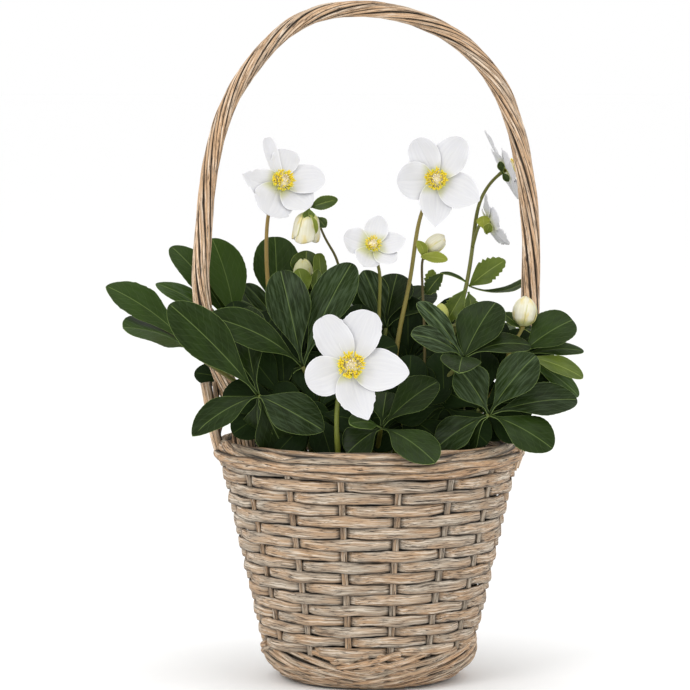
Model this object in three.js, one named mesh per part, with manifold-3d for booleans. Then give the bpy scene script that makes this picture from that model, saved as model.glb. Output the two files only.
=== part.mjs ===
// Christmas rose, Helleborus niger, in flower in a willow basket with a tall twisted handle.
// Millimetres, +Z up, the front looks along -Y. The origin is on the ground under the middle of the basket.
import * as THREE from "three";
import { mergeVertices } from "three/addons/utils/BufferGeometryUtils.js";
import Module from "manifold-3d";

const wasm = await Module();
wasm.setup();

// ---------------------------------------------------------------- driving dimensions
const FIT = 0.3; // clearance between neighbouring pieces

const STAKES = 16; // uprights that the strips are woven round
const ROWS = 17; // rows of strips
const WALL_BOTTOM = 25;
const WALL_TOP = 157;
const WALL_RADIUS_AT_GROUND = 70.4; // the wall's cone carried down to the ground
const WALL_FLARE = 0.2265; // radius gained for each millimetre of height
const WALL_THICKNESS = 8;
const WEAVE_DEPTH = 3.2; // from the face of a strip over a stake to the face of a stake
const STAKE_WIDTH = 5.4;

const RIM_INNER = 96.5;
const RIM_OUTER = 107;
const RIM_TOP = 170;
const BASE_RADIUS = 51.6;
const BASE_THICKNESS = 8;

const HANDLE_LEG_RADIUS = 7;
const HANDLE_TOP_RADIUS = 5.8;
const HANDLE_FOOT_REACH = 10.3; // half the width of a splayed foot, across the rim
const HANDLE_RODS = 5;
const HANDLE_TWIST = 9.5 * Math.PI; // of the bundle from foot to foot

const POT_BOTTOM_RADIUS = 58;
const POT_TOP_RADIUS = 86;
const POT_TOP = 150;
const POT_WALL = 1.6;
const SOIL_TOP = 141;
const ROOT_DEPTH = 16; // how far a stalk stands in the soil

const LEAF_STALK = { base: 2.2, end: 1.4 }; // radii
const HUB_RADIUS = 3;
const STALK_RISE = { out: 0.42, up: 0.62 }; // shares of the way to the hub that the stalk's bend has covered
const STEM = { base: 2.4, end: 1.7, arm: 1.2 }; // radii
const LEAF_THICKNESS = 1.3; // at the midrib
const PETAL_THICKNESS = 1.1;

// ---------------------------------------------------------------- finishes
const finish = (color, roughness) => new THREE.MeshStandardMaterial({ color, roughness, metalness: 0 });
const WILLOW = finish("#a58a70", 0.75);
const BLACK_PLASTIC = finish("#1d1e1c", 0.5);
const PEAT = finish("#33241a", 0.95);
const LEAF_GREEN = finish("#2c4326", 0.45);
const STEM_GREEN = finish("#6f7f35", 0.5);
const WHITE_PETAL = finish("#f1f1f0", 0.6);
const YELLOW_HEART = finish("#e2c92f", 0.65);
const CREAM_BUD = finish("#e9e6c4", 0.55);

// ---------------------------------------------------------------- shaping tools
const UP = new THREE.Vector3(0, 0, 1);
const SIDES = 5; // corners of a stalk's section and of its hole
const vec = (x, y, z) => new THREE.Vector3(x, y, z);
const radians = THREE.MathUtils.degToRad;
const lerp = THREE.MathUtils.lerp;

// Unit vector for a compass turn (0 along +X, 90 along +Y) and a lift over the horizon, in degrees.
const heading = (turn, lift) =>
  vec(
    Math.cos(radians(lift)) * Math.cos(radians(turn)),
    Math.cos(radians(lift)) * Math.sin(radians(turn)),
    Math.sin(radians(lift)),
  );

// A closed solid from an indexed surface, turned face out where its winding runs inward.
function solidOf(surface) {
  const bare = new THREE.BufferGeometry().setAttribute("position", surface.getAttribute("position"));
  bare.setIndex(surface.index);
  const merged = mergeVertices(bare, 1e-3);
  const faces = [];
  for (let i = 0; i < merged.index.count; i += 3) {
    const face = [0, 1, 2].map((k) => merged.index.getX(i + k));
    if (new Set(face).size === 3) faces.push(face);
  }
  const close = (list) =>
    new wasm.Manifold(
      new wasm.Mesh({
        numProp: 3,
        vertProperties: merged.attributes.position.array,
        triVerts: new Uint32Array(list.flat()),
      }),
    );
  const made = close(faces);
  return made.volume() < 0 ? close(faces.map(([a, b, c]) => [a, c, b])) : made;
}

// A solid through rings with equally many points. An open loft has a fan of triangles at each end, and a
// looped one joins its last ring to its first. In a mirrored loft the second half of each ring, the
// underside of a blade, is split like the first half above it.
function loft(rings, { looped = false, mirrored = false } = {}) {
  const count = rings[0].length;
  const faces = [];
  const spans = looped ? rings.length : rings.length - 1;
  for (let i = 0; i < spans; i++) {
    const here = i * count;
    const there = ((i + 1) % rings.length) * count;
    for (let k = 0; k < count; k++) {
      const next = (k + 1) % count;
      const [a, b, c, d] = [here + k, here + next, there + next, there + k];
      if (mirrored && k >= count / 2) faces.push(a, b, d, b, c, d);
      else faces.push(a, b, c, a, c, d);
    }
  }
  const end = (rings.length - 1) * count;
  for (let k = 1; !looped && k < count - 1; k++) faces.push(0, k + 1, k, end, end + k, end + k + 1);
  const surface = new THREE.BufferGeometry().setFromPoints(rings.flat());
  surface.setIndex(faces);
  return solidOf(surface);
}

// A section carried along a path without turning about it. section(share, i) lists its points as [a, b].
function sweep(path, section) {
  const frame = new THREE.Quaternion();
  let before = UP;
  const rings = path.map((point, i) => {
    const ahead = path[Math.min(i + 1, path.length - 1)];
    const tangent = ahead.clone().sub(path[Math.max(i - 1, 0)]).normalize();
    frame.premultiply(new THREE.Quaternion().setFromUnitVectors(before, tangent));
    before = tangent;
    return section(i / (path.length - 1), i).map(([a, b]) => vec(a, b, 0).applyQuaternion(frame).add(point));
  });
  return loft(rings);
}

function circle(radius, sides, start = 0) {
  return Array.from({ length: sides }, (_, k) => {
    const angle = start + (2 * Math.PI * k) / sides;
    return [radius * Math.cos(angle), radius * Math.sin(angle)];
  });
}

const lathe = (profile, segments) =>
  solidOf(new THREE.LatheGeometry(profile.map(([r, z]) => new THREE.Vector2(r, z)), segments).rotateX(Math.PI / 2));

const join = (solids) => solids.reduce((sum, one) => sum.add(one));

function meshOf(name, solid, material) {
  const made = solid.getMesh();
  const surface = new THREE.BufferGeometry()
    .setAttribute("position", new THREE.BufferAttribute(new Float32Array(made.vertProperties), 3))
    .setIndex(new THREE.BufferAttribute(new Uint32Array(made.triVerts), 1));
  surface.computeVertexNormals();
  const mesh = new THREE.Mesh(surface, material);
  mesh.name = name;
  return mesh;
}

// ---------------------------------------------------------------- the basket
const wallRadius = (z) => WALL_RADIUS_AT_GROUND + WALL_FLARE * z;

// Height of the lower edge of a row: strips are a little wider towards the rim.
function rowEdge(row) {
  const share = row / ROWS;
  return lerp(WALL_BOTTOM, WALL_TOP, 0.93 * share + 0.07 * share * share);
}

const onWall = (angle, z, inset) => {
  const radius = wallRadius(z) - inset;
  return vec(radius * Math.cos(angle), radius * Math.sin(angle), z);
};

// Strips pass in front of every second stake and behind the ones between, the other way round in the next row.
function wallRing(angle, overEven) {
  const outer = [onWall(angle, WALL_BOTTOM, WEAVE_DEPTH)];
  for (let row = 0; row < ROWS; row++) {
    const swing = row % 2 === 0 ? overEven : -overEven;
    outer.push(onWall(angle, (rowEdge(row) + rowEdge(row + 1)) / 2, (WEAVE_DEPTH * (1 - swing)) / 2));
    outer.push(onWall(angle, rowEdge(row + 1), WEAVE_DEPTH));
  }
  const inner = [WALL_TOP, WALL_BOTTOM].map((z) => onWall(angle, z, WALL_THICKNESS));
  return [...outer, ...inner];
}

function basketWall() {
  const pitch = (2 * Math.PI) / STAKES;
  const halfStake = STAKE_WIDTH / 2 / wallRadius((WALL_BOTTOM + WALL_TOP) / 2);
  const rings = [];
  for (let stake = 0; stake < STAKES; stake++) {
    const middle = (stake + 0.5) * pitch;
    const over = stake % 2 === 0 ? 1 : -1;
    rings.push(wallRing(middle - halfStake, over), wallRing(middle + halfStake, over));
  }
  return loft(rings, { looped: true });
}

// The border: rods laid over each other, so that the ring's section has four lobes that turn as it goes round.
function basketRim() {
  const lobes = 4;
  const turns = 3;
  const columns = 36;
  const bottom = WALL_TOP + FIT;
  const half = { r: (RIM_OUTER - RIM_INNER) / 2, z: (RIM_TOP - bottom) / 2 };
  const rings = Array.from({ length: columns }, (_, i) => {
    const angle = (2 * Math.PI * i) / columns;
    return Array.from({ length: 2 * lobes }, (_, k) => {
      const around = (Math.PI * k) / lobes + turns * angle;
      const swell = k % 2 === 0 ? 1 : 0.84;
      const radius = RIM_INNER + half.r + half.r * swell * Math.cos(around);
      const z = bottom + half.z + half.z * swell * Math.sin(around);
      return vec(radius * Math.cos(angle), radius * Math.sin(angle), z);
    });
  });
  return loft(rings, { looped: true });
}

// The rounded border at the ground: the same kind of rods, swept round the corner under the wall.
function basketFoot() {
  const columns = 32;
  const rodWaves = 8;
  const seat = BASE_RADIUS + FIT;
  const profile = [
    [seat, 0, 0],
    [58, 0, 0],
    [64.8, 6.2, 1],
    [71.4, 12, 1],
    [75, 18.4, 1],
    [76, WALL_BOTTOM - FIT, 0],
    [wallRadius(WALL_BOTTOM) - WALL_THICKNESS, WALL_BOTTOM - FIT, 0],
    [POT_BOTTOM_RADIUS + 2.5, BASE_THICKNESS, 0],
    [seat, BASE_THICKNESS, 0],
  ];
  const relief = 1.4;
  const rings = Array.from({ length: columns }, (_, i) => {
    const angle = (2 * Math.PI * i) / columns;
    return profile.map(([r, z, rod], k) => {
      const radius = r - rod * relief * (1 - Math.cos(rodWaves * angle + (Math.PI / 2) * k));
      return vec(radius * Math.cos(angle), radius * Math.sin(angle), z);
    });
  });
  return loft(rings, { looped: true });
}

// The round bottom, flat underneath.
const basketBase = () =>
  lathe(
    [
      [0, 0],
      [BASE_RADIUS, 0],
      [BASE_RADIUS, BASE_THICKNESS],
      [0, BASE_THICKNESS],
    ],
    32,
  );

// Middle line of the handle from its left foot over the top to its right foot, as [x, z].
const HANDLE_LINE = [
  [-100.3, 148], [-100.3, 172], [-104.5, 188], [-110.5, 207], [-115, 231], [-117.4, 256], [-118, 281],
  [-116.3, 309], [-114, 337], [-110, 365], [-102.5, 393], [-88.8, 420.5], [-66.4, 448], [-44, 463.5],
  [-20, 469.6], [7.6, 469.2], [35.6, 462.4], [63.5, 447.5], [88, 421], [100.6, 393], [107.5, 365],
  [111.5, 337], [113.5, 309], [113.6, 281], [112.5, 250], [110, 222], [106.5, 198], [102.3, 184],
  [100.3, 170], [100.3, 148],
];

// The ring that a foot of the handle straddles: the rim and the upper edge of the wall, with clearance.
function rimEnvelope() {
  const low = 140;
  const inner = (wallRadius(148) - WALL_THICKNESS) * Math.cos(Math.PI / STAKES) - FIT;
  return lathe(
    [
      [inner, low],
      [wallRadius(low) + FIT, low],
      [wallRadius(WALL_TOP) + FIT, WALL_TOP],
      [RIM_OUTER + FIT, WALL_TOP + 1],
      [RIM_OUTER + FIT, RIM_TOP + FIT],
      [inner, RIM_TOP + FIT],
      [inner, low],
    ],
    96,
  );
}

// A bundle of rods twisted like a rope. Its feet are splayed: some rods go down behind the rim, and the
// others wrap over it.
function basketHandle() {
  const steps = 42;
  const line = new THREE.CatmullRomCurve3(HANDLE_LINE.map(([x, z]) => vec(x, 0, z))).getSpacedPoints(steps);
  const footShare = 0.045;
  const legShare = 0.3;
  const bundle = sweep(line, (share) => {
    const nearFoot = Math.min(share, 1 - share);
    const leg = lerp(HANDLE_LEG_RADIUS, HANDLE_TOP_RADIUS, Math.min(1, nearFoot / legShare));
    const splay = Math.max(0, 1 - Math.max(0, nearFoot - footShare) / footShare);
    const across = lerp(leg, HANDLE_FOOT_REACH, splay);
    return circle(1, 2 * HANDLE_RODS, HANDLE_TWIST * share).map(([a, b], k) => {
      const swell = k % 2 === 0 ? 1 : lerp(0.82, 0.92, splay);
      return [across * swell * a, leg * swell * b];
    });
  });
  return bundle.subtract(rimEnvelope());
}

// ---------------------------------------------------------------- grow pot and soil
const potInner = (z) =>
  lerp(POT_BOTTOM_RADIUS, POT_TOP_RADIUS, (z - BASE_THICKNESS) / (POT_TOP - BASE_THICKNESS)) - POT_WALL;

function growPot() {
  const bottom = BASE_THICKNESS + FIT;
  const floor = bottom + POT_WALL;
  const lip = { height: 6, width: 2.4 };
  const drains = { count: 4, radius: 5, at: 38 };
  const shell = lathe(
    [
      [0, bottom],
      [POT_BOTTOM_RADIUS, bottom],
      [POT_TOP_RADIUS, POT_TOP - lip.height],
      [POT_TOP_RADIUS + lip.width, POT_TOP - lip.height],
      [POT_TOP_RADIUS + lip.width, POT_TOP],
      [potInner(POT_TOP), POT_TOP],
      [potInner(floor), floor],
      [0, floor],
    ],
    20,
  );
  const holes = Array.from({ length: drains.count }, (_, i) => {
    const angle = (2 * Math.PI * i) / drains.count;
    const drain = new THREE.CylinderGeometry(drains.radius, drains.radius, 3 * POT_WALL, 8).rotateX(Math.PI / 2);
    return solidOf(drain.translate(drains.at * Math.cos(angle), drains.at * Math.sin(angle), bottom));
  });
  return holes.reduce((pot, hole) => pot.subtract(hole), shell);
}

// Every stalk and stem stands in a plain round hole.
function soil(roots) {
  const bottom = BASE_THICKNESS + FIT + POT_WALL + FIT;
  const dip = 2;
  const body = lathe(
    [
      [0, bottom],
      [potInner(bottom) - FIT, bottom],
      [potInner(SOIL_TOP - dip) - FIT, SOIL_TOP - dip],
      [0, SOIL_TOP],
    ],
    20,
  );
  const holes = roots.map(({ at, radius }) => {
    const depth = ROOT_DEPTH + FIT;
    const hole = new THREE.CylinderGeometry(radius + FIT, radius + FIT, 2 * depth, SIDES).rotateX(Math.PI / 2);
    return solidOf(hole.rotateZ(Math.PI / 2).translate(at[0], at[1], SOIL_TOP));
  });
  return holes.reduce((mass, hole) => mass.subtract(hole), body);
}

// ---------------------------------------------------------------- stalks, blades and knots
// A round stalk that stands upright in the soil and then follows a smooth line through the given points.
function stalk(root, route, baseRadius, endRadius, steps) {
  const ground = vec(root[0], root[1], SOIL_TOP + 1);
  const foot = vec(root[0], root[1], SOIL_TOP - ROOT_DEPTH);
  const line = new THREE.CatmullRomCurve3([ground, ...route]).getPoints(steps);
  return sweep([foot, ...line], (share) => circle(lerp(baseRadius, endRadius, share), SIDES));
}

function knot(at, radius) {
  const ball = mergeVertices(new THREE.OctahedronGeometry(radius).deleteAttribute("normal").deleteAttribute("uv"));
  return solidOf(ball.translate(at.x, at.y, at.z));
}

// Outlines of blades, as [share of the length, share of half the width].
const TOOTHED_LEAFLET = [
  [0, 0.04], [0.3, 0.44], [0.56, 0.97], [0.73, 1], [0.81, 0.82], [0.84, 0.86], [1, 0],
];
const LEAFLET = [[0, 0.04], [0.3, 0.42], [0.62, 1], [0.86, 0.8], [1, 0]];
const BRACT = [
  [0, 0.2], [0.45, 1], [0.53, 0.84], [0.66, 0.98], [0.74, 0.74], [1, 0],
];
const PETAL = [[0.06, 0.14], [0.32, 0.78], [0.6, 1], [0.87, 0.78], [1, 0]];

// A thin arched blade with a lens section. face is the way its upper side looks, arch lifts its middle by
// that share of the length, fold lifts its edges by that share of half the width, tilt lifts one edge and
// lowers the other, and wave ripples them.
function blade({ from, to, width, face, outline, thickness, arch = 0.1, fold = 0, tilt = 0, wave = 0, ribs = [0] }) {
  const axis = to.clone().sub(from);
  const length = axis.length();
  const side = vec(0, 0, 0).crossVectors(axis, face).normalize();
  const normal = vec(0, 0, 0).crossVectors(side, axis).normalize();
  const rings = outline.map(([t, share]) => {
    const half = (share * width) / 2;
    const middle = from.clone().addScaledVector(axis, t);
    middle.addScaledVector(normal, 4 * arch * length * t * (1 - t));
    const point = (u, skin) => {
      const body = share === 0 ? 0 : (skin * thickness * (1 - u * u)) / 2;
      const ripple = wave * u * Math.sin(7 * t + 2 * u);
      return middle
        .clone()
        .addScaledVector(side, u * half)
        .addScaledVector(normal, half * (fold * u * u + tilt * u + ripple) + body);
    };
    const above = [-1, ...ribs, 1].map((u) => point(u, 1));
    const below = [...ribs].reverse().map((u) => point(u, -1));
    return [...above, ...below];
  });
  return loft(rings, { mirrored: true });
}

// ---------------------------------------------------------------- leaves
// A leaf is a stalk from its root in the soil to its hub, where all its leaflets start.
// Each leaflet is [turn, lift, length, width].
const LEAVES = [
  {
    name: "leaf_front_left", root: [-36, -34], hub: [-76, -72, 206], face: [-112, 38],
    leaflets: [
      [-153, -23, 54, 30], [-169, 46, 88, 34], [106, 55, 70, 30], [-20, -42, 45, 32], [38, -60, 42, 26],
      [82, -56, 42, 24],
    ],
  },
  {
    name: "leaf_left", root: [-44, -10], hub: [-119, -30, 229], face: [-120, 55],
    leaflets: [[-170, 34, 80, 30], [-148, 22, 60, 29], [150, 2, 42, 24]],
  },
  {
    name: "leaf_left_high", root: [-42, 12], hub: [-94, 20, 240], face: [-60, 30], plain: true,
    leaflets: [[163, 52, 79, 27], [160, 30, 70, 20], [160, 75, 71, 36], [148, -34, 50, 20]],
  },
  {
    name: "leaf_middle_left", root: [-22, -28], hub: [-46, -51, 224], face: [-95, 35],
    leaflets: [[150, 75, 68, 31], [-160, 27, 71, 27], [36, 61, 81, 34], [135, -30, 41, 28]],
  },
  {
    name: "leaf_back_left", root: [-30, 26], hub: [-66, 42, 248], face: [-80, 30], plain: true,
    leaflets: [[100, 84, 61, 32], [-156, 48, 37, 14], [142, 22, 40, 24], [60, 55, 48, 24]],
  },
  {
    name: "leaf_middle", root: [8, 10], hub: [12, 12, 246], face: [-95, 40], plain: true,
    leaflets: [[-150, 66, 45, 22], [60, 66, 41, 30], [30, 33, 47, 26]],
  },
  {
    name: "leaf_middle_right", root: [24, -26], hub: [65, -50, 230], face: [-92, 50],
    leaflets: [
      [-176, 51, 49, 22], [-147, 22, 47, 24], [50, 52, 46, 34], [10, 9, 48, 26], [-96, -8, 46, 28],
    ],
  },
  {
    name: "leaf_front_right", root: [34, -40], hub: [82, -64, 192], face: [-92, 42],
    leaflets: [
      [-169, 56, 39, 28], [-4, 52, 52, 31], [6, 9, 62, 29], [-23, -25, 51, 31], [-174, -32, 42, 26],
      [158, -48, 34, 22],
    ],
  },
  {
    name: "leaf_front_middle", root: [4, -40], hub: [8, -74, 184], face: [-90, 48],
    leaflets: [[3, 39, 50, 30], [-48, -20, 57, 29], [-159, -34, 30, 26], [-130, 9, 34, 16], [77, 55, 28, 22]],
  },
  {
    name: "leaf_right", root: [42, -14], hub: [110, -34, 230], face: [-88, 45],
    leaflets: [[8, 41, 38, 33], [14, 3, 41, 16], [-19, -17, 44, 20], [-3, -38, 46, 20]],
  },
];

// The leaves behind follow one rule: a hand of leaflets that opens outward round the hub and droops.
// Each row is [compass turn, reach of the hub, its height, length of the middle leaflet].
const BACK_LEAVES = [
  [24, 92, 246, 66], [56, 84, 216, 62], [78, 96, 200, 64], [98, 74, 252, 66], [122, 96, 214, 66],
  [152, 100, 200, 50], [60, 46, 236, 40], [118, 50, 232, 30],
];
const HAND = [
  { turn: -96, lift: 4, length: 0.7 },
  { turn: -50, lift: 2, length: 0.92 },
  { turn: 0, lift: 6, length: 1 },
  { turn: 50, lift: 2, length: 0.92 },
  { turn: 96, lift: 4, length: 0.7 },
];

const backLeaves = BACK_LEAVES.map(([turn, reach, height, length], i) => {
  const out = heading(turn, 0);
  return {
    name: `leaf_back_${i + 1}`,
    root: [0.4 * reach * out.x, 0.4 * reach * out.y],
    hub: [reach * out.x, reach * out.y, height],
    face: [turn, 70],
    leaflets: HAND.map((one) => [turn + one.turn, one.lift, one.length * length, 0.4 * length]),
    plain: true,
  };
});

function leaf({ root, hub, face, leaflets, plain }) {
  const top = vec(...hub);
  const { out, up } = STALK_RISE;
  const rise = vec(lerp(root[0], hub[0], out), lerp(root[1], hub[1], out), lerp(SOIL_TOP, hub[2], up));
  const start = 0.45 * HUB_RADIUS;
  const blades = leaflets.map(([turn, lift, length, width], i) =>
    blade({
      from: top.clone().addScaledVector(heading(turn, lift), start),
      to: top.clone().addScaledVector(heading(turn, lift), length),
      width,
      face: heading(...face),
      outline: plain ? LEAFLET : TOOTHED_LEAFLET,
      thickness: LEAF_THICKNESS,
      arch: 0.09,
      fold: i % 2 === 0 ? 0.14 : 0.02,
      tilt: 0.1,
      wave: 0.04,
    }),
  );
  return join([stalk(root, [rise, top], LEAF_STALK.base, LEAF_STALK.end, 3), knot(top, HUB_RADIUS), ...blades]);
}

// ---------------------------------------------------------------- blooms and buds
// face: the way a bloom looks. Petals are [clock angle from the top, length, width] seen from its front.
const BLOOMS = {
  bloom_front: {
    centre: [-13, -95, 228.5], face: [-88, 12], cup: 0.1, heart: 7.5,
    petals: [[-29, 39, 33], [24, 40, 34], [98, 41, 34], [163, 38, 34], [250, 33, 33]],
  },
  bloom_upper_left: {
    centre: [-61.5, -4, 349.5], face: [-72, 22], cup: 0.14, heart: 6.5,
    petals: [[-16, 32, 16], [16, 24, 24], [84, 31, 25], [139, 27, 25], [212, 26, 25], [284, 28, 26]],
  },
  bloom_middle: {
    centre: [2, -27, 306], face: [-80, 24], cup: 0.14, heart: 5,
    petals: [[17, 22, 20], [84, 23, 20], [128, 20, 18], [205, 18, 19], [287, 21, 20]],
  },
  bloom_upper_right: {
    centre: [47.5, -2, 351], face: [-94, 10], cup: 0.12, heart: 6.5,
    petals: [[-25, 32, 28], [36, 34, 29], [113, 33, 28], [181, 33, 28], [266, 27, 27]],
  },
  bloom_far_right: {
    centre: [98.5, 37, 357.5], face: [14, 22], cup: 0.2, heart: 6,
    petals: [[0, 31, 25], [72, 28, 25], [144, 27, 25], [216, 27, 25], [288, 28, 25]],
  },
  bloom_half_open: {
    centre: [82, 10, 321], face: [-12, -28], cup: 0.7, heart: 3,
    petals: [[0, 18, 17], [72, 17, 17], [144, 16, 16], [216, 16, 16], [288, 17, 17]],
  },
};

// base: where a bud sits on its stem, axis: the way it points.
const BUDS = {
  bud_hanging: { base: [-41.5, -5, 330], axis: [180, -76], length: 22, radius: 9.5 },
  bud_upper_right: { base: [42, 8, 299], axis: [5, 62], length: 18, radius: 8 },
  bud_right: { base: [105.5, -29, 252], axis: [40, 76], length: 21, radius: 8.4 },
  bud_left: { base: [-48, 21, 283], axis: [95, 76], length: 20, radius: 8.4 },
  bud_green: { base: [55, -9, 263.5], axis: [188, -20], length: 13, radius: 6 },
};

// ---------------------------------------------------------------- stems with their bracts
// route: points that the stem passes above the soil, before what it carries. bracts: [place, turn, lift,
// length, width, arch], each from its place on the stem. arms: side arms to a second bloom or bud.
const STEMS = [
  { name: "stem_front", carries: "bloom_front", root: [-18, -60], route: [[-22, -80, 172], [-21.5, -87, 205]] },
  {
    name: "stem_upper_left", carries: "bloom_upper_left", root: [-34, 4],
    route: [[-64, 2, 235], [-71.5, 2, 285], [-71, 5, 327]],
  },
  {
    name: "stem_middle", carries: "bloom_middle", root: [2, -12],
    route: [[6, -15, 215], [7, -16, 260], [7.5, -18, 290]],
  },
  {
    name: "stem_upper_right", carries: "bloom_upper_right", root: [10, -26],
    route: [[19, -10, 231], [29, 0, 281], [36, 6, 326]],
  },
  {
    name: "stem_right", carries: "bloom_far_right", root: [30, 8],
    route: [[60.5, 4, 246], [69, 9, 277], [73.5, 14, 305], [78, 24, 335]],
    arms: [{ from: [73, 13.5, 303], carries: "bloom_half_open" }, { from: [66, 7, 266], carries: "bud_green" }],
    bracts: [
      [[69, 9, 277], -14, 39, 35, 17, 0.06], [[69, 9, 277], -28, 7, 48, 8, -0.08],
      [[69, 9, 277], 196, -4, 32, 10, 0.3], [[67, 7, 270], -120, 10, 20, 9, 0.2],
      [[84.6, 29.6, 344.7], 150, 60, 12, 7, 0.1],
    ],
  },
  {
    name: "stem_bud_hanging", carries: "bud_hanging", root: [-8, 6],
    route: [[-20, 4, 284], [-28, 2, 304], [-33.5, -1, 326], [-38.5, -4, 336]],
    bracts: [[[-38.5, -4, 336], -17, 12, 15, 8, 0.1], [[-33.5, -1, 326], -45, -25, 12, 5, 0.1]],
  },
  {
    name: "stem_bud_upper_right", carries: "bud_upper_right", root: [26, -8],
    route: [[38.5, -8, 215], [37.5, 6, 280]],
    bracts: [[[41.5, 8, 297.5], 180, 50, 13, 8, -0.2], [[41.5, 8, 297.5], -20, -8, 16, 9, -0.15]],
  },
  {
    name: "stem_bud_right", carries: "bud_right", root: [46, -32],
    route: [[86, -34, 205], [99.5, -31, 238]],
    bracts: [[[104, -29.5, 249], 185, 6, 16, 8, 0.1], [[104, -29.5, 249], 30, -12, 12, 8, 0.2]],
  },
  {
    name: "stem_bud_left", carries: "bud_left", root: [-14, 28],
    route: [[-40, 24, 236], [-47, 22, 268]],
    bracts: [
      [[-47.8, 21.2, 279], -150, 40, 20, 12, -0.12], [[-47.8, 21.2, 279], -50, 10, 24, 10, 0.1],
      [[-47.5, 21.5, 276], 50, 45, 26, 12, -0.1],
    ],
  },
];

const DISC = { radius: 4.2, half: 1.4 }; // where the petals of a bloom join

// The way a bloom looks, and its right and top as seen from its front.
function bloomFrame({ centre, face }) {
  const front = heading(...face);
  const right = vec(0, 0, 0).crossVectors(UP, front).normalize();
  const top = vec(0, 0, 0).crossVectors(front, right);
  return { middle: vec(...centre), front, right, top };
}

// A short round disc or plug across the bloom's axis, between two distances along it.
function plug(middle, front, near, far, radius, farRadius = radius, sides = 10) {
  const path = [near, far].map((along) => middle.clone().addScaledVector(front, along));
  return sweep(path, (share) => circle(lerp(radius, farRadius, share), sides));
}

function bloomPetals(bloom) {
  const { middle, front, right, top } = bloomFrame(bloom);
  const petals = bloom.petals.map(([clock, length, width]) => {
    const out = top
      .clone()
      .multiplyScalar(Math.cos(radians(clock)))
      .addScaledVector(right, Math.sin(radians(clock)));
    const to = middle.clone().addScaledVector(out, length).addScaledVector(front, bloom.cup * length);
    return blade({
      from: middle, to, width, face: front, outline: PETAL, thickness: PETAL_THICKNESS,
      arch: -0.05, fold: 0.1, tilt: 0.12, wave: 0.02, ribs: [-0.45, 0.45],
    });
  });
  return join([plug(middle, front, -DISC.half, DISC.half, DISC.radius), ...petals]);
}

// The heart: a brush of stamens that stands out in points from the nectaries at its foot to the carpels
// in its middle. Each ring is [radius of its points, radius between them, distance along the axis].
function bloomHeart(bloom) {
  const { middle, front } = bloomFrame(bloom);
  const points = 7;
  const rings = [[0.5, 0.45, 0], [1, 0.5, 0.4], [0.7, 0.5, 0.6], [0.5, 0.26, 0.95], [0.2, 0.12, 1.05]];
  const path = rings.map(([, , along]) =>
    middle.clone().addScaledVector(front, DISC.half + FIT + along * bloom.heart),
  );
  return sweep(path, (share, i) =>
    circle(bloom.heart, 2 * points).map(([a, b], k) => {
      const reach = rings[i][(k + (i > 2 ? 1 : 0)) % 2];
      return [reach * a, reach * b];
    }),
  );
}

// A closed bud: petals wrapped round each other, so that its section turns a little on the way up.
function budPetals({ base, axis, length, radius }) {
  const outline = [
    [0, 0.3], [0.12, 0.72], [0.38, 1], [0.65, 0.93], [0.87, 0.55], [1, 0.12],
  ];
  const way = heading(...axis);
  const path = outline.map(([t]) => vec(...base).addScaledVector(way, FIT + t * length));
  return sweep(path, (share, i) =>
    circle(radius * outline[i][1], 8, share).map(([a, b], k) => (k % 2 ? [0.9 * a, 0.9 * b] : [a, b])),
  );
}

// ---------------------------------------------------------------- stems
// The last two points of a stem: behind its bloom or bud, and where it meets it.
function meeting(name) {
  if (BUDS[name]) {
    const { base, axis } = BUDS[name];
    return [vec(...base).addScaledVector(heading(...axis), -4), vec(...base)];
  }
  const { middle, front } = bloomFrame(BLOOMS[name]);
  return [8, DISC.half + FIT].map((back) => middle.clone().addScaledVector(front, -back));
}

function stem({ root, route, carries, arms = [], bracts = [] }) {
  const line = [...route.map((point) => vec(...point)), ...meeting(carries)];
  const main = stalk(root, line, STEM.base, STEM.end, line.length < 6 ? 2 * line.length : line.length);
  const sides = arms.map((one) => {
    const path = new THREE.CatmullRomCurve3([vec(...one.from), ...meeting(one.carries)]).getPoints(4);
    return sweep(path, () => circle(STEM.arm, SIDES));
  });
  const leaves = bracts.map(([place, turn, lift, length, width, arch]) => {
    const from = vec(...place);
    const way = heading(turn, lift);
    return blade({
      from, to: from.clone().addScaledVector(way, length), width, face: heading(turn + 180, 90 - lift),
      outline: BRACT, thickness: LEAF_THICKNESS, arch, fold: 0.15,
    });
  });
  return join([main, ...sides, ...leaves]);
}

// ---------------------------------------------------------------- the whole plant in its basket
const group = new THREE.Group();
const add = (name, solid, material) => group.add(meshOf(name, solid, material));

add("basket_base", basketBase(), WILLOW);
add("basket_foot", basketFoot(), WILLOW);
add("basket_wall", basketWall(), WILLOW);
add("basket_rim", basketRim(), WILLOW);
add("basket_handle", basketHandle(), WILLOW);
add("grow_pot", growPot(), BLACK_PLASTIC);

const leaves = [...LEAVES, ...backLeaves];
const roots = [
  ...leaves.map(({ root }) => ({ at: root, radius: LEAF_STALK.base })),
  ...STEMS.map(({ root }) => ({ at: root, radius: STEM.base })),
];
add("soil", soil(roots), PEAT);
for (const one of leaves) add(one.name, leaf(one), LEAF_GREEN);
for (const one of STEMS) add(one.name, stem(one), STEM_GREEN);
for (const [name, bloom] of Object.entries(BLOOMS)) {
  add(`${name}_petals`, bloomPetals(bloom), WHITE_PETAL);
  add(`${name}_heart`, bloomHeart(bloom), YELLOW_HEART);
}
for (const [name, bud] of Object.entries(BUDS)) add(name, budPetals(bud), CREAM_BUD);

export default group;
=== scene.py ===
"""White Christmas rose, Helleborus niger, in flower in a grow pot that stands in a willow basket.

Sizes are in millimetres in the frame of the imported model, +Z up and -Y to the front, and become metres where
a mesh is made. Two sets of numbers go with every point of a piece, for its finish: "lie" says where the
point is on its own strip, rod, stalk or blade, and "look" says what that strip or blade is like.
"""

import math

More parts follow.
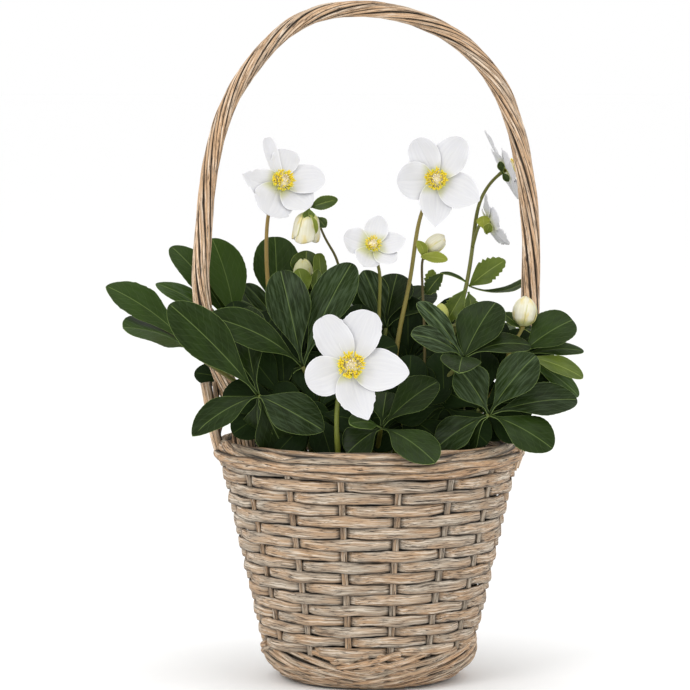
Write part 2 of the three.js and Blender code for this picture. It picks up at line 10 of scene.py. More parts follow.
import bpy
import numpy as np
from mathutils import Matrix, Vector


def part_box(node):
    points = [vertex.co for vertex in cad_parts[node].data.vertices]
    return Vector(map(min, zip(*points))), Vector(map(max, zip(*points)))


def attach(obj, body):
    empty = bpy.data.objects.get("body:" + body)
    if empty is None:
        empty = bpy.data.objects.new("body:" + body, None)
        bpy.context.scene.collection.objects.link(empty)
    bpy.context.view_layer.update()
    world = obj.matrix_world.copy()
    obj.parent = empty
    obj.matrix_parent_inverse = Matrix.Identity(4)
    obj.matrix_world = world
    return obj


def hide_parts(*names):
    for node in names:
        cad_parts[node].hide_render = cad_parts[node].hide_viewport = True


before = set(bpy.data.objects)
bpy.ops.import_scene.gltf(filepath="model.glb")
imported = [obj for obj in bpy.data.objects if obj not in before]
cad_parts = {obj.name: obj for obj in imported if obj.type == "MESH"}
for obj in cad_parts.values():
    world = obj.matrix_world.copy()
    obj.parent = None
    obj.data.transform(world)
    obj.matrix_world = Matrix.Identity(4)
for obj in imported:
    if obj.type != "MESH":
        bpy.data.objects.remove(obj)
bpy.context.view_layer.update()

MM = 0.001
UP = np.array([0.0, 0.0, 1.0])
TURN = 2 * math.pi
chance = np.random.default_rng(11)


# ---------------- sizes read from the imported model
def box_mm(node):
    """The low and the high corner of a node's box."""
    return [np.array(corner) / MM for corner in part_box(node)]


WALL_BOTTOM, WALL_TOP = (corner[2] for corner in box_mm("basket_wall"))
RIM_LOW, RIM_HIGH = box_mm("basket_rim")
POT_BOTTOM, POT_TOP = (corner[2] for corner in box_mm("grow_pot"))
BASE_RADIUS = box_mm("basket_base")[1][0]
SOIL_RADIUS = box_mm("soil")[1][0]

# ---------------- sizes of the basket
STAKES = 16
PITCH = TURN / STAKES
ROWS = 17
WALL_RADIUS_AT_GROUND = 70.4  # the wall's cone carried down to the ground
WALL_FLARE = 0.2265  # radius gained for each millimetre of height
STRIP_THICKNESS = 2.0
STRIP_FILL = 0.95  # a strip's width as a share of its row's height, halfway between two stakes
STRIP_SPREAD = 0.09  # how much wider it is in front of a stake, and narrower behind one
DIVE = 6.0  # how far to each side of a stake a strip needs to pass behind it
STAKE_WIDTH = 4.2
STAKE_THICKNESS = 2.2
STAKE_DEPTH = 3.5  # middle of a stake behind the wall's outer face
OVER_DEPTH = 1.15  # middle of a strip behind that face where it passes in front of a stake
BEHIND_DEPTH = 5.8  # and where it passes behind one

RIM_MIDDLE = 101.75  # radius of the middle of the border
RIM_RODS = 5
BINDING_RODS = 2  # rods that bind the border to the wall
RIM_ROD_RADIUS = 3.6
RIM_ROD_FLATNESS = 0.78
RIM_CLIMB = math.radians(55)  # how far to each side of its mean place a rod moves round the border's section
FOOT_RODS = 8  # that run one way on one half
FOOT_LOOPS = 4  # rods that lie under those all the way round
FOOT_ROD_RADIUS = 2.35
FOOT_PITCH = 18  # degrees round the basket from one rod of the foot to the next
FOOT_SWEEP = 112  # degrees round the basket that such a rod needs from the first row down to the ground
BOTTOM_RINGS = 9

HANDLE_RODS = 14
HANDLE_ROD_RADIUS = 1.4
HANDLE_CORE_RADIUS = 4.6
HANDLE_TURNS = 3.0  # of the bundle from foot to foot
HANDLE_LEG_RADIUS = 7.0
HANDLE_TOP_RADIUS = 5.8

# painted shade in the crevices between willow rods
PAINTED_CREVICE_SHADE = 0.04  # how bright the willow is where two rods touch
# Where round a rod that painted shade gives way to full brightness: the cosine of the angle from its outward
# side.
RIM_SEAM = (0.54, 0.74)
FOOT_SEAM = (0.36, 0.62)
HANDLE_SEAM = (0.2, 0.58)
FREE_END_SEAM = (-0.95, -0.3)

SOIL_TOP = 141.0
ROOT_DEPTH = 12  # how far a stalk goes into the soil
LEAF_STALK = (2.2, 1.4)  # radii at the soil and under the leaflets
STEM = (2.3, 1.35)
ARM_RADIUS = 1.1
FIT = 0.3  # gap between a stem and the bloom or bud on it


# ---------------- shaping tools
def unit(v):
    return v / np.linalg.norm(v, axis=-1, keepdims=True)


def circle(count, closed=False):
    """Angles once round. A closed circle ends where it starts."""
    return np.linspace(0, TURN, count, endpoint=closed)


def triple(a, b, c):
    """Three numbers for each point, from single numbers or grids."""
    return np.stack(np.broadcast_arrays(a, b, c), axis=-1)


def on_ring(angle, radius, z):
    """Points at a compass angle in radians, a radius and a height."""
    return triple(radius * np.cos(angle), radius * np.sin(angle), z)


def heading(turn, lift):
    """Unit vector for a compass turn (0 along +X, 90 along +Y) and a lift over the horizon, in degrees."""
    turn, lift = math.radians(turn), math.radians(lift)
    return np.array([math.cos(lift) * math.cos(turn), math.cos(lift) * math.sin(turn), math.sin(lift)])


def smooth(low, high, x):
    """0 below low and 1 above high, with a soft change between them."""
    share = np.clip((x - low) / (high - low), 0.0, 1.0)
    return share * share * (3 - 2 * share)


def ripple(x, seed):
    """A smooth wandering value of about -1 to 1 along x, the same each time for the same seed."""
    draw = np.random.default_rng(seed)
    total = 0.0
    for pace in (1.0, 2.0, 4.0):
        total = total + np.sin(pace * x * draw.uniform(0.8, 1.25) + draw.uniform(0, TURN)) / pace
    return total / 1.6


def waves(x, level, *parts):
    """A level with waves along x, each given by its height, its pace and its start."""
    for height, pace, start in parts:
        level = level + height * np.sin(pace * x + start)
    return level


def run_length(path):
    return np.concatenate([[0], np.cumsum(np.linalg.norm(np.diff(path, axis=0), axis=1))])


def curve_through(points, count):
    """Evenly spaced points on a smooth line through the given ones (Catmull-Rom)."""
    points = np.asarray(points, float)
    padded = np.vstack([2 * points[0] - points[1], points, 2 * points[-1] - points[-2]])
    t = np.linspace(0, 1, 24, endpoint=False)[:, None]
    fine = []
    for a, b, c, d in zip(padded, padded[1:], padded[2:], padded[3:]):
        square, cube = 2 * a - 5 * b + 4 * c - d, 3 * b - a - 3 * c + d
        fine.append(0.5 * (2 * b + (c - a) * t + square * t**2 + cube * t**3))
    fine = np.vstack([*fine, points[-1:]])
    run = run_length(fine)
    at = np.linspace(0, run[-1], count)
    return np.stack([np.interp(at, run, fine[:, k]) for k in range(3)], axis=1)


def carried_frame(path, first=None):
    """Two side directions at each point of a path that turn with it and never about it."""
    ahead = unit(np.gradient(path, axis=0))
    if first is None:
        first = UP if abs(ahead[0][2]) < 0.9 else np.array([1.0, 0, 0])
    sides = [first]
    for here in ahead:
        sides.append(unit(sides[-1] - here * np.dot(sides[-1], here)))
    return np.array(sides[1:]), np.cross(ahead, sides[1:])


class Shells:
    """The closed shells of one piece."""

    def __init__(self):
        self.points, self.lies, self.looks = [], [], []
        self.faces, self.slots = [], []
        self.count = 0

    def add(self, rings, lie, look, looped=False, slot=0):
        """A tube through rings of points. A looped one joins its last ring to its first."""
        n, m = rings.shape[:2]
        ids = self.count + np.arange(n * m).reshape(n, m)
        following = np.roll(ids, -1, axis=0) if looped else ids[1:]
        here = ids if looped else ids[:-1]
        made = np.stack([here, np.roll(here, -1, 1), np.roll(following, -1, 1), following], axis=-1)
        made = made.reshape(-1, 4).tolist()
        if not looped:
            made += [ids[0][::-1].tolist(), ids[-1].tolist()]
        self.faces += made
        self.slots += [slot] * len(made)
        for store, values in ((self.points, rings), (self.lies, lie), (self.looks, look)):
            store.append(np.broadcast_to(values, rings.shape).reshape(-1, 3))
        self.count += n * m

    def tube(self, path, radius, look, sides=8, flat=1.0, first=None, out=None, seam=None, slot=0):
        """A rod along a path. radius may change along it, and flat squashes it across its first side.

        out gives, for each point, the way out of the bundle that the rod lies in. The rod is flattened
        that way. With seam, painted shade darkens it where it touches its neighbours.
        """
        if out is None:
            side, other = carried_frame(path, first)
        else:
            ahead = unit(np.gradient(path, axis=0))
            side = unit(out - ahead * np.sum(out * ahead, axis=1, keepdims=True))
            other = np.cross(ahead, side)
        radius = np.broadcast_to(radius, len(path))[:, None]
        angle = circle(sides)
        a = radius * np.cos(angle) * flat
        b = radius * np.sin(angle)
        rings = path[:, None] + side[:, None] * a[..., None] + other[:, None] * b[..., None]
        along = run_length(path)[:, None] + chance.uniform(0, 900)
        looks = np.broadcast_to(np.asarray(look, float), rings.shape).copy()
        if seam:
            # painted shade where the rod touches its neighbours
            looks[..., 1] *= PAINTED_CREVICE_SHADE + (1 - PAINTED_CREVICE_SHADE) * smooth(*seam, np.cos(angle))
        self.add(rings, triple(along, a, b), looks, slot=slot)


def made_piece(name, shells, finishes, slot, *nodes):
    """A piece of the shown object from its shells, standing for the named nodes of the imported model."""
    mesh = bpy.data.meshes.new(name)
    mesh.from_pydata((np.vstack(shells.points) * MM).tolist(), [], shells.faces)
    for mark, values in (("lie", shells.lies), ("look", shells.looks)):
        store = mesh.attributes.new(mark, "FLOAT_VECTOR", "POINT")
        store.data.foreach_set("vector", np.vstack(values).astype(np.float32).ravel())
    mesh.polygons.foreach_set("material_index", shells.slots)
    mesh.polygons.foreach_set("use_smooth", [True] * len(mesh.polygons))
    for finish in finishes:
        mesh.materials.append(finish)
    mesh.update()
    piece = bpy.data.objects.new(name, mesh)
    bpy.context.scene.collection.objects.link(piece)
    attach(piece, "root")
    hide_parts(*nodes)


# ---------------- finishes
def srgb(code):
    """Linear colour from an sRGB hex code."""
    values = [int(code[i : i + 2], 16) / 255 for i in (1, 3, 5)]
    return [v / 12.92 if v <= 0.04045 else ((v + 0.055) / 1.055) ** 2.4 for v in values] + [1.0]


# What a finish is made of: for each step its node, the node's settings, the inputs it is given, and its
# output. A step that isn't here is one of arithmetic, named as the node names it.
STEPS = {
    "lie": ("Attribute", dict(attribute_name="lie"), [], "Vector"),
    "look": ("Attribute", dict(attribute_name="look"), [], "Vector"),
    "split": ("SeparateXYZ", {}, [0], 0),
    "join": ("CombineXYZ", {}, [0, 1, 2], 0),
    "stretch": ("Mapping", {}, ["Vector", "Scale"], 0),
    "noise": ("TexNoise", {}, ["Vector", "Scale", "Detail", "Roughness", "Distortion"], "Fac"),
    "crumbs": ("TexVoronoi", dict(feature="F1"), ["Vector", "Scale"], "Distance"),
    "band": ("MapRange", dict(interpolation_type="SMOOTHSTEP"), [0, 1, 2, 3, 4], 0),
    "mix": ("Mix", dict(data_type="RGBA"), [0, 6, 7], 2),
    "tint": ("Mix", dict(data_type="RGBA", blend_type="MULTIPLY"), [0, 6, 7], 2),
    "bump": ("Bump", {}, ["Height", "Distance", "Strength"], 0),
}


class Finish:
    """A material with its shader, and the two sets of numbers kept on every point."""

    def __init__(self, name, roughness, ior=1.5):
        self.material = bpy.data.materials.new(name)
        self.material.use_nodes = True
        self.tree = self.material.node_tree
        self.shader = self.tree.nodes["Principled BSDF"].inputs
        self.shader["Roughness"].default_value = roughness
        self.shader["IOR"].default_value = ior
        self.lie = self.step("lie")
        self.place = self.step("split", self.lie).node.outputs
        self.look = self.step("split", self.step("look")).node.outputs

    def step(self, name, *values):
        """Adds the node of a step with its settings and its inputs: numbers, hex colours or sockets."""
        arithmetic = ("Math", dict(operation=name), [0, 1, 2], 0)
        kind, settings, places, output = STEPS.get(name, arithmetic)
        node = self.tree.nodes.new("ShaderNode" + kind)
        for key, setting in settings.items():
            setattr(node, key, setting)
        for place, value in zip(places, values):
            if isinstance(value, bpy.types.NodeSocket):
                self.tree.links.new(value, node.inputs[place])
            else:
                node.inputs[place].default_value = srgb(value) if isinstance(value, str) else value
        return node.outputs[output]

    def grain(self, scale, detail=3.0, roughness=0.6, distortion=0.0, on=None):
        """Noise on the lie, or on another vector in millimetres, with a scale for each direction."""
        stretched = self.step("stretch", on or self.lie, scale)
        return self.step("noise", stretched, 1.0, detail, roughness, distortion)

    def over(self, below, coat, value, low, high, start=0.0, end=1.0):
        """One colour over another: its share goes softly from start, below low, to end, above high."""
        return self.step("mix", self.step("band", value, low, high, start, end), below, coat)

    def lit(self, colour):
        """A colour made darker or brighter by the second number of look."""
        bright = self.look["Y"]
        return self.step("tint", 1.0, colour, self.step("join", bright, bright, bright))

    def done(self, colour, height, depth, strength=1.0):
        """The material with this colour, and a bump of a height from 0 to 1 that is worth so many mm."""
        self.tree.links.new(colour, self.shader["Base Color"])
        self.tree.links.new(self.step("bump", height, depth * MM, strength), self.shader["Normal"])
        return self.material


def willow(name, tan, grey, dark, pale):
    """Limewashed willow: peeled rods, split or whole, woven wet and then washed, so that pale wash sits on
    the high grain and brown wood shows in long fine streaks between. look: greyness, brightness."""
    finish = Finish(name, 0.75)
    step, over = finish.step, finish.over
    streak = finish.grain((0.045, 0.9, 0.9), 4.0, 0.6, 0.4)  # grain lines about 1 mm apart
    fine = finish.grain((0.11, 2.2, 2.2), 3.0, 0.6, 0.3)  # cracks and fibres about 0.5 mm apart
    patch = finish.grain((0.035, 0.16, 0.16), 2.0, 0.5)  # stains about 30 mm long and 6 mm wide
    wash = step("ADD", finish.look["X"], step("MULTIPLY_ADD", patch, 2.4, -1.2))
    skin = over(tan, grey, wash, 0.0, 1.0)
    skin = over(skin, dark, streak, 0.3, 0.46, 0.9, 0.0)
    skin = over(skin, pale, streak, 0.5, 0.64, 0.0, 0.65)
    skin = over(skin, dark, fine, 0.36, 0.46, 1.0, 0.0)
    height = step("MULTIPLY_ADD", streak, 0.65, step("MULTIPLY", fine, 0.35))
    return finish.done(finish.lit(skin), height, 0.5, 0.9)


def leathery_leaf(name, deep, fresh, vein, below, painted_sheen, rough, ior=1.3):
    """A leathery evergreen blade: waxy and half glossy above, with a pale sunk midrib, a thin pale margin,
    faint side veins and a painted grey sheen in fine streaks, and matt and paler below. lie: along,
    across, face. look: half the blade's width here, freshness, painted sheen."""
    finish = Finish(name, rough, ior)
    step, over, place, look = finish.step, finish.over, finish.place, finish.look
    across = step("ABSOLUTE", place["Y"])
    from_edge = step("SUBTRACT", look["X"], across)
    wander = finish.grain((0.12, 0.12, 0.12), 2.0)
    slant = step("MULTIPLY_ADD", wander, 6.0, step("MULTIPLY_ADD", across, -1.4, place["X"]))
    side_vein = step("PINGPONG", step("MULTIPLY", slant, 1 / 7.5), 0.5)  # 7.5 mm apart
    side_vein = step("band", side_vein, 0.43, 0.5)
    midrib = step("MULTIPLY", step("band", across, 0.08, 0.42, 1.0, 0.0), step("band", from_edge, 1.5, 6.0))
    margin = step("band", from_edge, 0.12, 0.34, 1.0, 0.0)
    mottle = finish.grain((0.05, 0.1, 0.1))
    streak = finish.grain((0.07, 0.8, 0.8))
    top = over(deep, fresh, step("MULTIPLY_ADD", mottle, 0.6, look["Y"]), 0.15, 1.2)
    top = step("mix", step("MULTIPLY", side_vein, 0.06), top, vein)
    # painted sheen: a grey reflection in fine streaks on the upper side, as much as look's third number says
    top = step("mix", step("MULTIPLY", step("band", streak, 0.38, 0.68), look["Z"]), top, painted_sheen)
    bottom = over(below, fresh, mottle, 0.3, 0.7, 0.0, 0.5)
    bottom = step("mix", step("MULTIPLY", side_vein, 0.3), bottom, vein)
    skin = over(bottom, top, place["Z"], -0.1, 0.1)
    skin = step("mix", step("MULTIPLY", midrib, 0.43), skin, vein)
    skin = step("mix", step("MULTIPLY", margin, 0.7), skin, vein)
    gloss = step("MULTIPLY_ADD", streak, 0.2, rough - 0.1)
    matt = step("band", place["Z"], -0.1, 0.1, 0.2, 0.0)
    finish.tree.links.new(step("ADD", gloss, matt), finish.shader["Roughness"])
    height = step("MULTIPLY_ADD", side_vein, -0.5, step("MULTIPLY", streak, 0.6))
    return finish.done(skin, height, 0.3, 0.6)


def petal_skin(name, white, base_tint, shade, foot_reach, margin, warm, warmth):
    """The soft waxy skin of a petal: white with faint lengthwise veins, flushed green at its foot, with a
    thin edge of its own colour and warm patches. lie: along, across, face. look: half the width here,
    greenness."""
    finish = Finish(name, 0.55, 1.4)
    step, over, place, look = finish.step, finish.over, finish.place, finish.look
    finish.shader["Subsurface Weight"].default_value = 0.06
    finish.shader["Subsurface Radius"].default_value = (0.004, 0.004, 0.003)
    fan = step("join", place["X"], step("DIVIDE", place["Y"], look["X"]))
    veins = finish.grain((0.035, 7.0, 1.0), 3.0, 0.6, 0.2, on=fan)
    skin = over(shade, white, veins, 0.4, 0.62, 0.35, 0.8)
    skin = over(skin, warm, finish.grain((0.11, 0.16, 1.0), 2.0, 0.45), 0.46, 0.66, 0.0, warmth)
    foot = step("band", place["X"], 0.3 * foot_reach, foot_reach, 0.6, 0.0)
    skin = step("mix", step("MAXIMUM", foot, look["Y"]), skin, base_tint)
    from_edge = step("SUBTRACT", look["X"], step("ABSOLUTE", place["Y"]))
    skin = over(skin, margin, from_edge, 0.3, 0.8, 0.6, 0.0)
    return finish.done(skin, veins, 0.25, 0.4)


def stalk_skin(name, green, brown, fleck):
    """The smooth ridged skin of a stalk. look: how far it is flushed brown, brightness."""
    finish = Finish(name, 0.45, 1.45)
    ridge = finish.grain((0.03, 1.4, 1.4))
    tone = finish.step("ADD", finish.look["X"], finish.step("MULTIPLY_ADD", ridge, 0.9, -0.45))
    skin = finish.over(green, brown, tone, 0.0, 1.0)
    skin = finish.over(skin, fleck, finish.grain((0.35, 1.6, 1.6), 2.0), 0.55, 0.7, 0.0, 0.45)
    return finish.done(finish.lit(skin), ridge, 0.4, 0.6)


def plain_tissue(name, inner, outer, roughness, length):
    """Small flower parts, soft and matt, coloured from foot to tip over a length in millimetres."""
    finish = Finish(name, roughness, 1.42)
    grain = finish.grain((1.2, 1.2, 1.2), 2.0)
    way = finish.step("MULTIPLY_ADD", grain, 0.3 * length, finish.place["X"])
    return finish.done(finish.over(inner, outer, way, 0.0, length), grain, 0.15, 0.6)


def peat(name):
    """Moist peat: dark crumbs about 3 mm wide, with a few lighter fibres."""
    finish = Finish(name, 0.95)
    crumbs = finish.step("crumbs", finish.lie, 0.35)
    fibre = finish.grain((0.9, 0.25, 0.25), 4.0, 0.7)
    dark = finish.over("#1a120c", "#4a3524", fibre, 0.35, 0.65)
    skin = finish.over(dark, "#8a6b48", fibre, 0.66, 0.74, 0.0, 0.6)
    return finish.done(skin, finish.step("ADD", crumbs, fibre), 2.0)


def pot_plastic(name):
    """Thin black polypropylene, moulded: a soft orange peel gloss, greyed by dust of the soil."""
    finish = Finish(name, 0.42, 1.49)
    skin = finish.over("#161715", "#3a3833", finish.grain((0.04, 0.04, 0.04)), 0.45, 0.75, 0.0, 0.5)
    return finish.done(skin, finish.grain((0.8, 0.8, 0.8), 2.0), 0.08, 0.5)


WILLOW_STRIP = willow("split_willow_washed", "#b0906f", "#a49684", "#2a1d13", "#e4d8c6")
WILLOW_ROD = willow("peeled_willow_rod", "#b3906d", "#a4947f", "#2a1d13", "#e2d4c0")
WILLOW_HANDLE = willow("handle_willow_rod", "#c6a27d", "#baa288", "#2e1f12", "#f0e0cc")
MATURE_LEAF = leathery_leaf(
    "mature_hellebore_leaf", "#131e05", "#324716", "#7f9452", "#54663a", "#4c5c42", 0.36, 1.18
)
# a darker copy of the mature leaf: painted shade for the small leaves inside the crown
SHADED_LEAF = leathery_leaf(
    "shaded_hellebore_leaf", "#101c07", "#243a12", "#4b5c28", "#2c3d16", "#2e3d22", 0.5, 1.15
)
YOUNG_LEAF = leathery_leaf(
    "young_hellebore_leaf", "#283a0c", "#687824", "#9dab56", "#7c8a3c", "#84905c", 0.42
)
BRACT_SKIN = leathery_leaf(
    "yellow_green_bract", "#566319", "#8f9636", "#babd6c", "#8f9640", "#9a9e52", 0.42
)
PETAL = petal_skin("white_petal_skin", "#d6d6d8", "#b5b84c", "#cbcbcf", 10.0, "#ececee", "#d2d2d2", 0.3)
BUD_PETAL = petal_skin("cream_bud_skin", "#e2dfcf", "#a3a83a", "#cfcaa8", 6.0, "#c9c876", "#d8c266", 0.6)
LEAF_STALK_SKIN = stalk_skin("leaf_stalk_skin", "#55631f", "#665526", "#424d1c")
STEM_SKIN = stalk_skin("flower_stem_skin", "#6a7324", "#8a7236", "#45421a")
ANTHER = plain_tissue("pollen_covered_anther", "#d9b814", "#efd83c", 0.8, 1.8)
FILAMENT = plain_tissue("stamen_filament", "#d8d488", "#f6eec8", 0.5, 5.0)
NECTARY = plain_tissue("nectary_tube", "#a9b82a", "#d8d33a", 0.4, 3.0)
CARPEL = plain_tissue("carpel_skin", "#d6cf94", "#f3e9da", 0.45, 6.0)
PEAT = peat("moist_peat")
POT_PLASTIC = pot_plastic("black_pot_plastic")


# ---------------- basket
def wall_radius(z):
    return WALL_RADIUS_AT_GROUND + WALL_FLARE * z


def row_edge(row):
    """Height of the lower edge of a row: strips are a little wider towards the rim."""
    share = row / ROWS
    return WALL_BOTTOM + (WALL_TOP + 1.5 - WALL_BOTTOM) * (0.93 * share + 0.07 * share * share)


def washed(grey, bright):
    """How one rod took the wash, drawn between two limits each for its greyness and its brightness."""
    return (chance.uniform(*grey), chance.uniform(*bright), 0)


def wall_strips():
    """Flat split strips that pass in front of every second stake and behind the ones between."""
    shells = Shells()
    angle = circle(STAKES * 14)
    corner = circle(14)
    flat = np.sign(np.cos(corner)) * np.abs(np.cos(corner)) ** 0.7
    crown = np.sign(np.sin(corner)) * np.abs(np.sin(corner)) ** 0.75
    for row in range(ROWS):
        low, high = row_edge(row), row_edge(row + 1)
        # way goes from 0 at a stake that the strip passes behind, to 1 at the next, which it passes in front
        stakes = angle / PITCH + (0.5 if row % 2 == 0 else 1.5)
        way = np.abs(stakes % 2 - 1)
        dip = np.exp(-((way * PITCH * wall_radius((low + high) / 2) / DIVE) ** 2))
        slack = 0.25 * ripple(9 * angle, 100 + row) + 0.9 * (1 - smooth(0.2, 1.0, way))
        depth = OVER_DEPTH + (BEHIND_DEPTH - OVER_DEPTH) * dip + slack * (1 - dip)
        fill = STRIP_FILL - STRIP_SPREAD * np.cos(math.pi * way) + 0.06 * ripple(13 * angle, 200 + row)
        middle = (low + high) / 2 + 0.45 * ripple(4 * angle, 300 + row) + 0.4 * ripple(14 * angle, 350 + row)
        tilt = 0.16 * ripple(8 * angle, 400 + row)
        radius = wall_radius(middle) - depth
        across = flat * ((high - low) * fill)[:, None] / 2
        out = crown * STRIP_THICKNESS / 2 * (1 - 0.12 * flat**2)
        rings = on_ring(
            angle[:, None], radius[:, None] + out + tilt[:, None] * across, middle[:, None] + across
        )
        segment = np.floor(stakes / 2 + 0.5).astype(int) % (STAKES // 2)
        greyness = chance.uniform(0.35, 0.65, STAKES // 2)[segment]
        # painted shade where the strip dives behind a stake, then a painted highlight towards its upper edge
        # and painted shade along both edges where rows meet
        bright = chance.uniform(0.94, 1.06, STAKES // 2)[segment] * (1 - 0.85 * smooth(0.45, 0.9, dip))
        shade = bright[:, None] * (1.04 + 0.13 * flat - 0.95 * np.abs(flat) ** 9)
        along = angle * radius + 700 * row + 90 * segment
        lie = triple(along[:, None], across, out)
        shells.add(rings, lie, triple(greyness[:, None], shade, 0.0), looped=True)
    z = np.linspace(WALL_BOTTOM - 3, WALL_TOP + 6, 52)
    for stake in range(STAKES):
        turn = (stake + 0.5) * PITCH
        pressed = 0.35 * np.sin((z - WALL_BOTTOM) / (WALL_TOP - WALL_BOTTOM) * ROWS * math.pi)
        radius = wall_radius(z) - STAKE_DEPTH + pressed * (1 if stake % 2 else -1)
        grey = chance.uniform(0.3, 0.9)
        for half in (-1, 1):
            shift = half * STAKE_WIDTH / 4 + 0.35 * ripple(z / 14, 500 + stake)
            path = on_ring(turn + shift / radius, radius, z)
            look = (grey, chance.uniform(0.8, 1.0), 0)
            flatness = STAKE_THICKNESS / (STAKE_WIDTH / 2)
            shells.tube(path, STAKE_WIDTH / 4 + 0.15, look, flat=flatness, first=on_ring(turn, 1, 0))
    made_piece("woven_wall", shells, [WILLOW_STRIP], "willow", "basket_wall")


# Thick rods laid over the border: way round the basket and way round the border's section, in degrees,
# where 0 is outermost and 90 the top.
OVER_RODS = [
    [(194, 62), (204, 22), (216, -12), (232, -42), (250, -75)],
    [(224, -52), (240, -14), (258, -2), (280, -14), (300, -8), (322, 22), (344, 64), (364, 120)],
    [(20, 150), (40, 95), (62, 40), (88, 0), (115, -20), (140, -60)],
]


def border_rods():
    """The rim: thick rods laid side by side all round, lowest in front and behind, a few over them, and two
    that bind it to the wall."""
    shells = Shells()
    thickness = RIM_ROD_RADIUS * RIM_ROD_FLATNESS
    half_out = RIM_HIGH[0] - thickness - RIM_MIDDLE
    half_up = (RIM_HIGH[2] - RIM_LOW[2]) / 2 - thickness
    middle_z = (RIM_HIGH[2] + RIM_LOW[2]) / 2

    def lay(path, out, radius, flat=RIM_ROD_FLATNESS):
        look = washed((0.2, 0.7), (0.94, 1.06))
        shells.tube(path, radius, look, sides=14, flat=flat, out=out, seam=RIM_SEAM)

    def lay_over(angle, around, swell, radius):
        rise = middle_z + half_up * swell * np.sin(around)
        path = on_ring(angle, RIM_MIDDLE + half_out * swell * np.cos(around), rise)
        lay(path, on_ring(angle, np.cos(around), np.sin(around)), radius)

    angle = circle(257, closed=True)
    climb = np.cos(2 * angle)
    for rod in range(RIM_RODS):
        uneven = waves(angle, 0, (1, 3, rod), (1, 7, 2.4 * rod), (0.8, 13, 1.7 * rod))
        around = TURN * (rod + 0.4) / RIM_RODS + RIM_CLIMB * climb + 0.07 * uneven
        thick = waves(angle, 0.95, (0.08, 11, rod), (0.07, 19, 3 * rod))
        lay_over(angle, around, waves(angle, 0.95, (0.07, 5, 1.3 * rod)), RIM_ROD_RADIUS * thick)
    share = np.linspace(0, 1, 140)
    for rod, places in enumerate(OVER_RODS):
        way = np.radians(curve_through([(a, b, 0) for a, b in places], 140))
        thick = 0.95 * (1 + 0.1 * ripple(9 * share, 660 + rod)) * (0.6 + 0.4 * smooth(0, 0.03, share))
        lay_over(way[:, 0], way[:, 1], 1.2 + 0.05 * ripple(11 * share, 670 + rod), RIM_ROD_RADIUS * thick)
    for rod in range(BINDING_RODS):
        uneven = waves(angle, 0, (1, 3, 2 + rod), (1, 8, 2.4 * rod), (0.6, 13, 1.7 * rod))
        z = RIM_LOW[2] - 1.2 + 3.2 * rod + 2.6 * climb * (1 - rod) + 0.5 * uneven
        thick = waves(angle, 0.86, (0.07, 11, rod), (0.05, 19, 3 * rod))
        path = on_ring(angle, wall_radius(z) + 0.3 + 0.4 * rod, z)
        lay(path, on_ring(angle, 1, 0), RIM_ROD_RADIUS * thick, 0.8)
    # a dark core under the rods, darkened as painted shade in the gaps between them
    core = half_up - 1.5
    corner = circle(10)
    rings = on_ring(
        circle(120)[:, None], RIM_MIDDLE + 0.6 * core * np.cos(corner), middle_z + core * np.sin(corner)
    )
    shells.add(rings, 5.3 * np.arange(120)[:, None, None], (0.8, 0.2, 0), looped=True)
    made_piece("rim_border_rods", shells, [WILLOW_ROD], "willow", "basket_rim")


def foot_rods():
    """The foot: rods that come from under the first row and run down round the rounded edge, from both sides
    towards the front and, on the far half, towards the back."""
    shells = Shells()
    profile = np.array([[56.5, 2.4], [61.2, 4.0], [66.6, 8.6], [70.8, 14.0], [73.2, 19.6], [73.0, 27.0]])
    outward = np.array([[0.0, -1.0], [0.4, -0.9], [0.75, -0.65], [0.93, -0.35], [1.0, -0.1], [1.0, 0.1]])
    run = run_length(profile)

    def lay(angle, place, lift, thick):
        """A rod whose points are so far up the rounded edge, and lifted off it."""
        radius, z, out, out_z = (np.interp(place, run, values) for values in (*profile.T, *outward.T))
        path = on_ring(angle, radius + lift * out, np.maximum(z + lift * out_z, FOOT_ROD_RADIUS))
        look = washed((0.1, 0.6), (0.94, 1.08))
        shells.tube(path, thick, look, sides=12, out=on_ring(angle, out, out_z), seam=FOOT_SEAM)

    share = np.linspace(0, 1, 50)
    for half in (0, 180):
        for side, first, raised, last in ((1, 146, 0.0, 290), (-1, 394, 1.0, 254)):
            for rod in range(FOOT_RODS):
                top = first + side * FOOT_PITCH * rod + chance.uniform(-2, 2)
                reach = min(1, side * (last + chance.uniform(-12, 12) - top) / FOOT_SWEEP)
                seed = 700 + rod + 10 * side + half
                down = reach * share
                angle = np.radians(top + side * FOOT_SWEEP * down + half)
                place = run[-1] * np.clip(1 - down + 0.02 * ripple(6 * share, seed), 0, 1)
                tucked = 3.2 * smooth(0.75, 1.0, share) if side < 0 else 0.0
                lift = raised - tucked + 0.4 * ripple(7 * share, seed + 20)
                lay(angle, place, lift, FOOT_ROD_RADIUS * (1 + 0.1 * ripple(9 * share, seed + 40)))
    angle = circle(181, closed=True)
    for rod in range(FOOT_LOOPS):
        place = run[-1] * (waves(angle, 0.06 + 0.17 * rod, (0.03, 5, 2 * rod)) - 0.05 * np.cos(2 * angle))
        lay(angle, place, -0.3, FOOT_ROD_RADIUS)
    # a dark lining under the rods, darkened as painted shade in the gaps between them
    lining = np.array([[58, 1.2], [65, 6.4], [69, 13], [70.5, 24], [67, 24], [60.5, 9], [54, 8], [53, 1.2]])
    rings = on_ring(circle(96)[:, None], lining[:, 0], lining[:, 1])
    shells.add(rings, 4.3 * np.arange(96)[:, None, None], (0.8, 0.3, 0), looped=True)
    made_piece("foot_border_rods", shells, [WILLOW_ROD], "willow", "basket_foot")


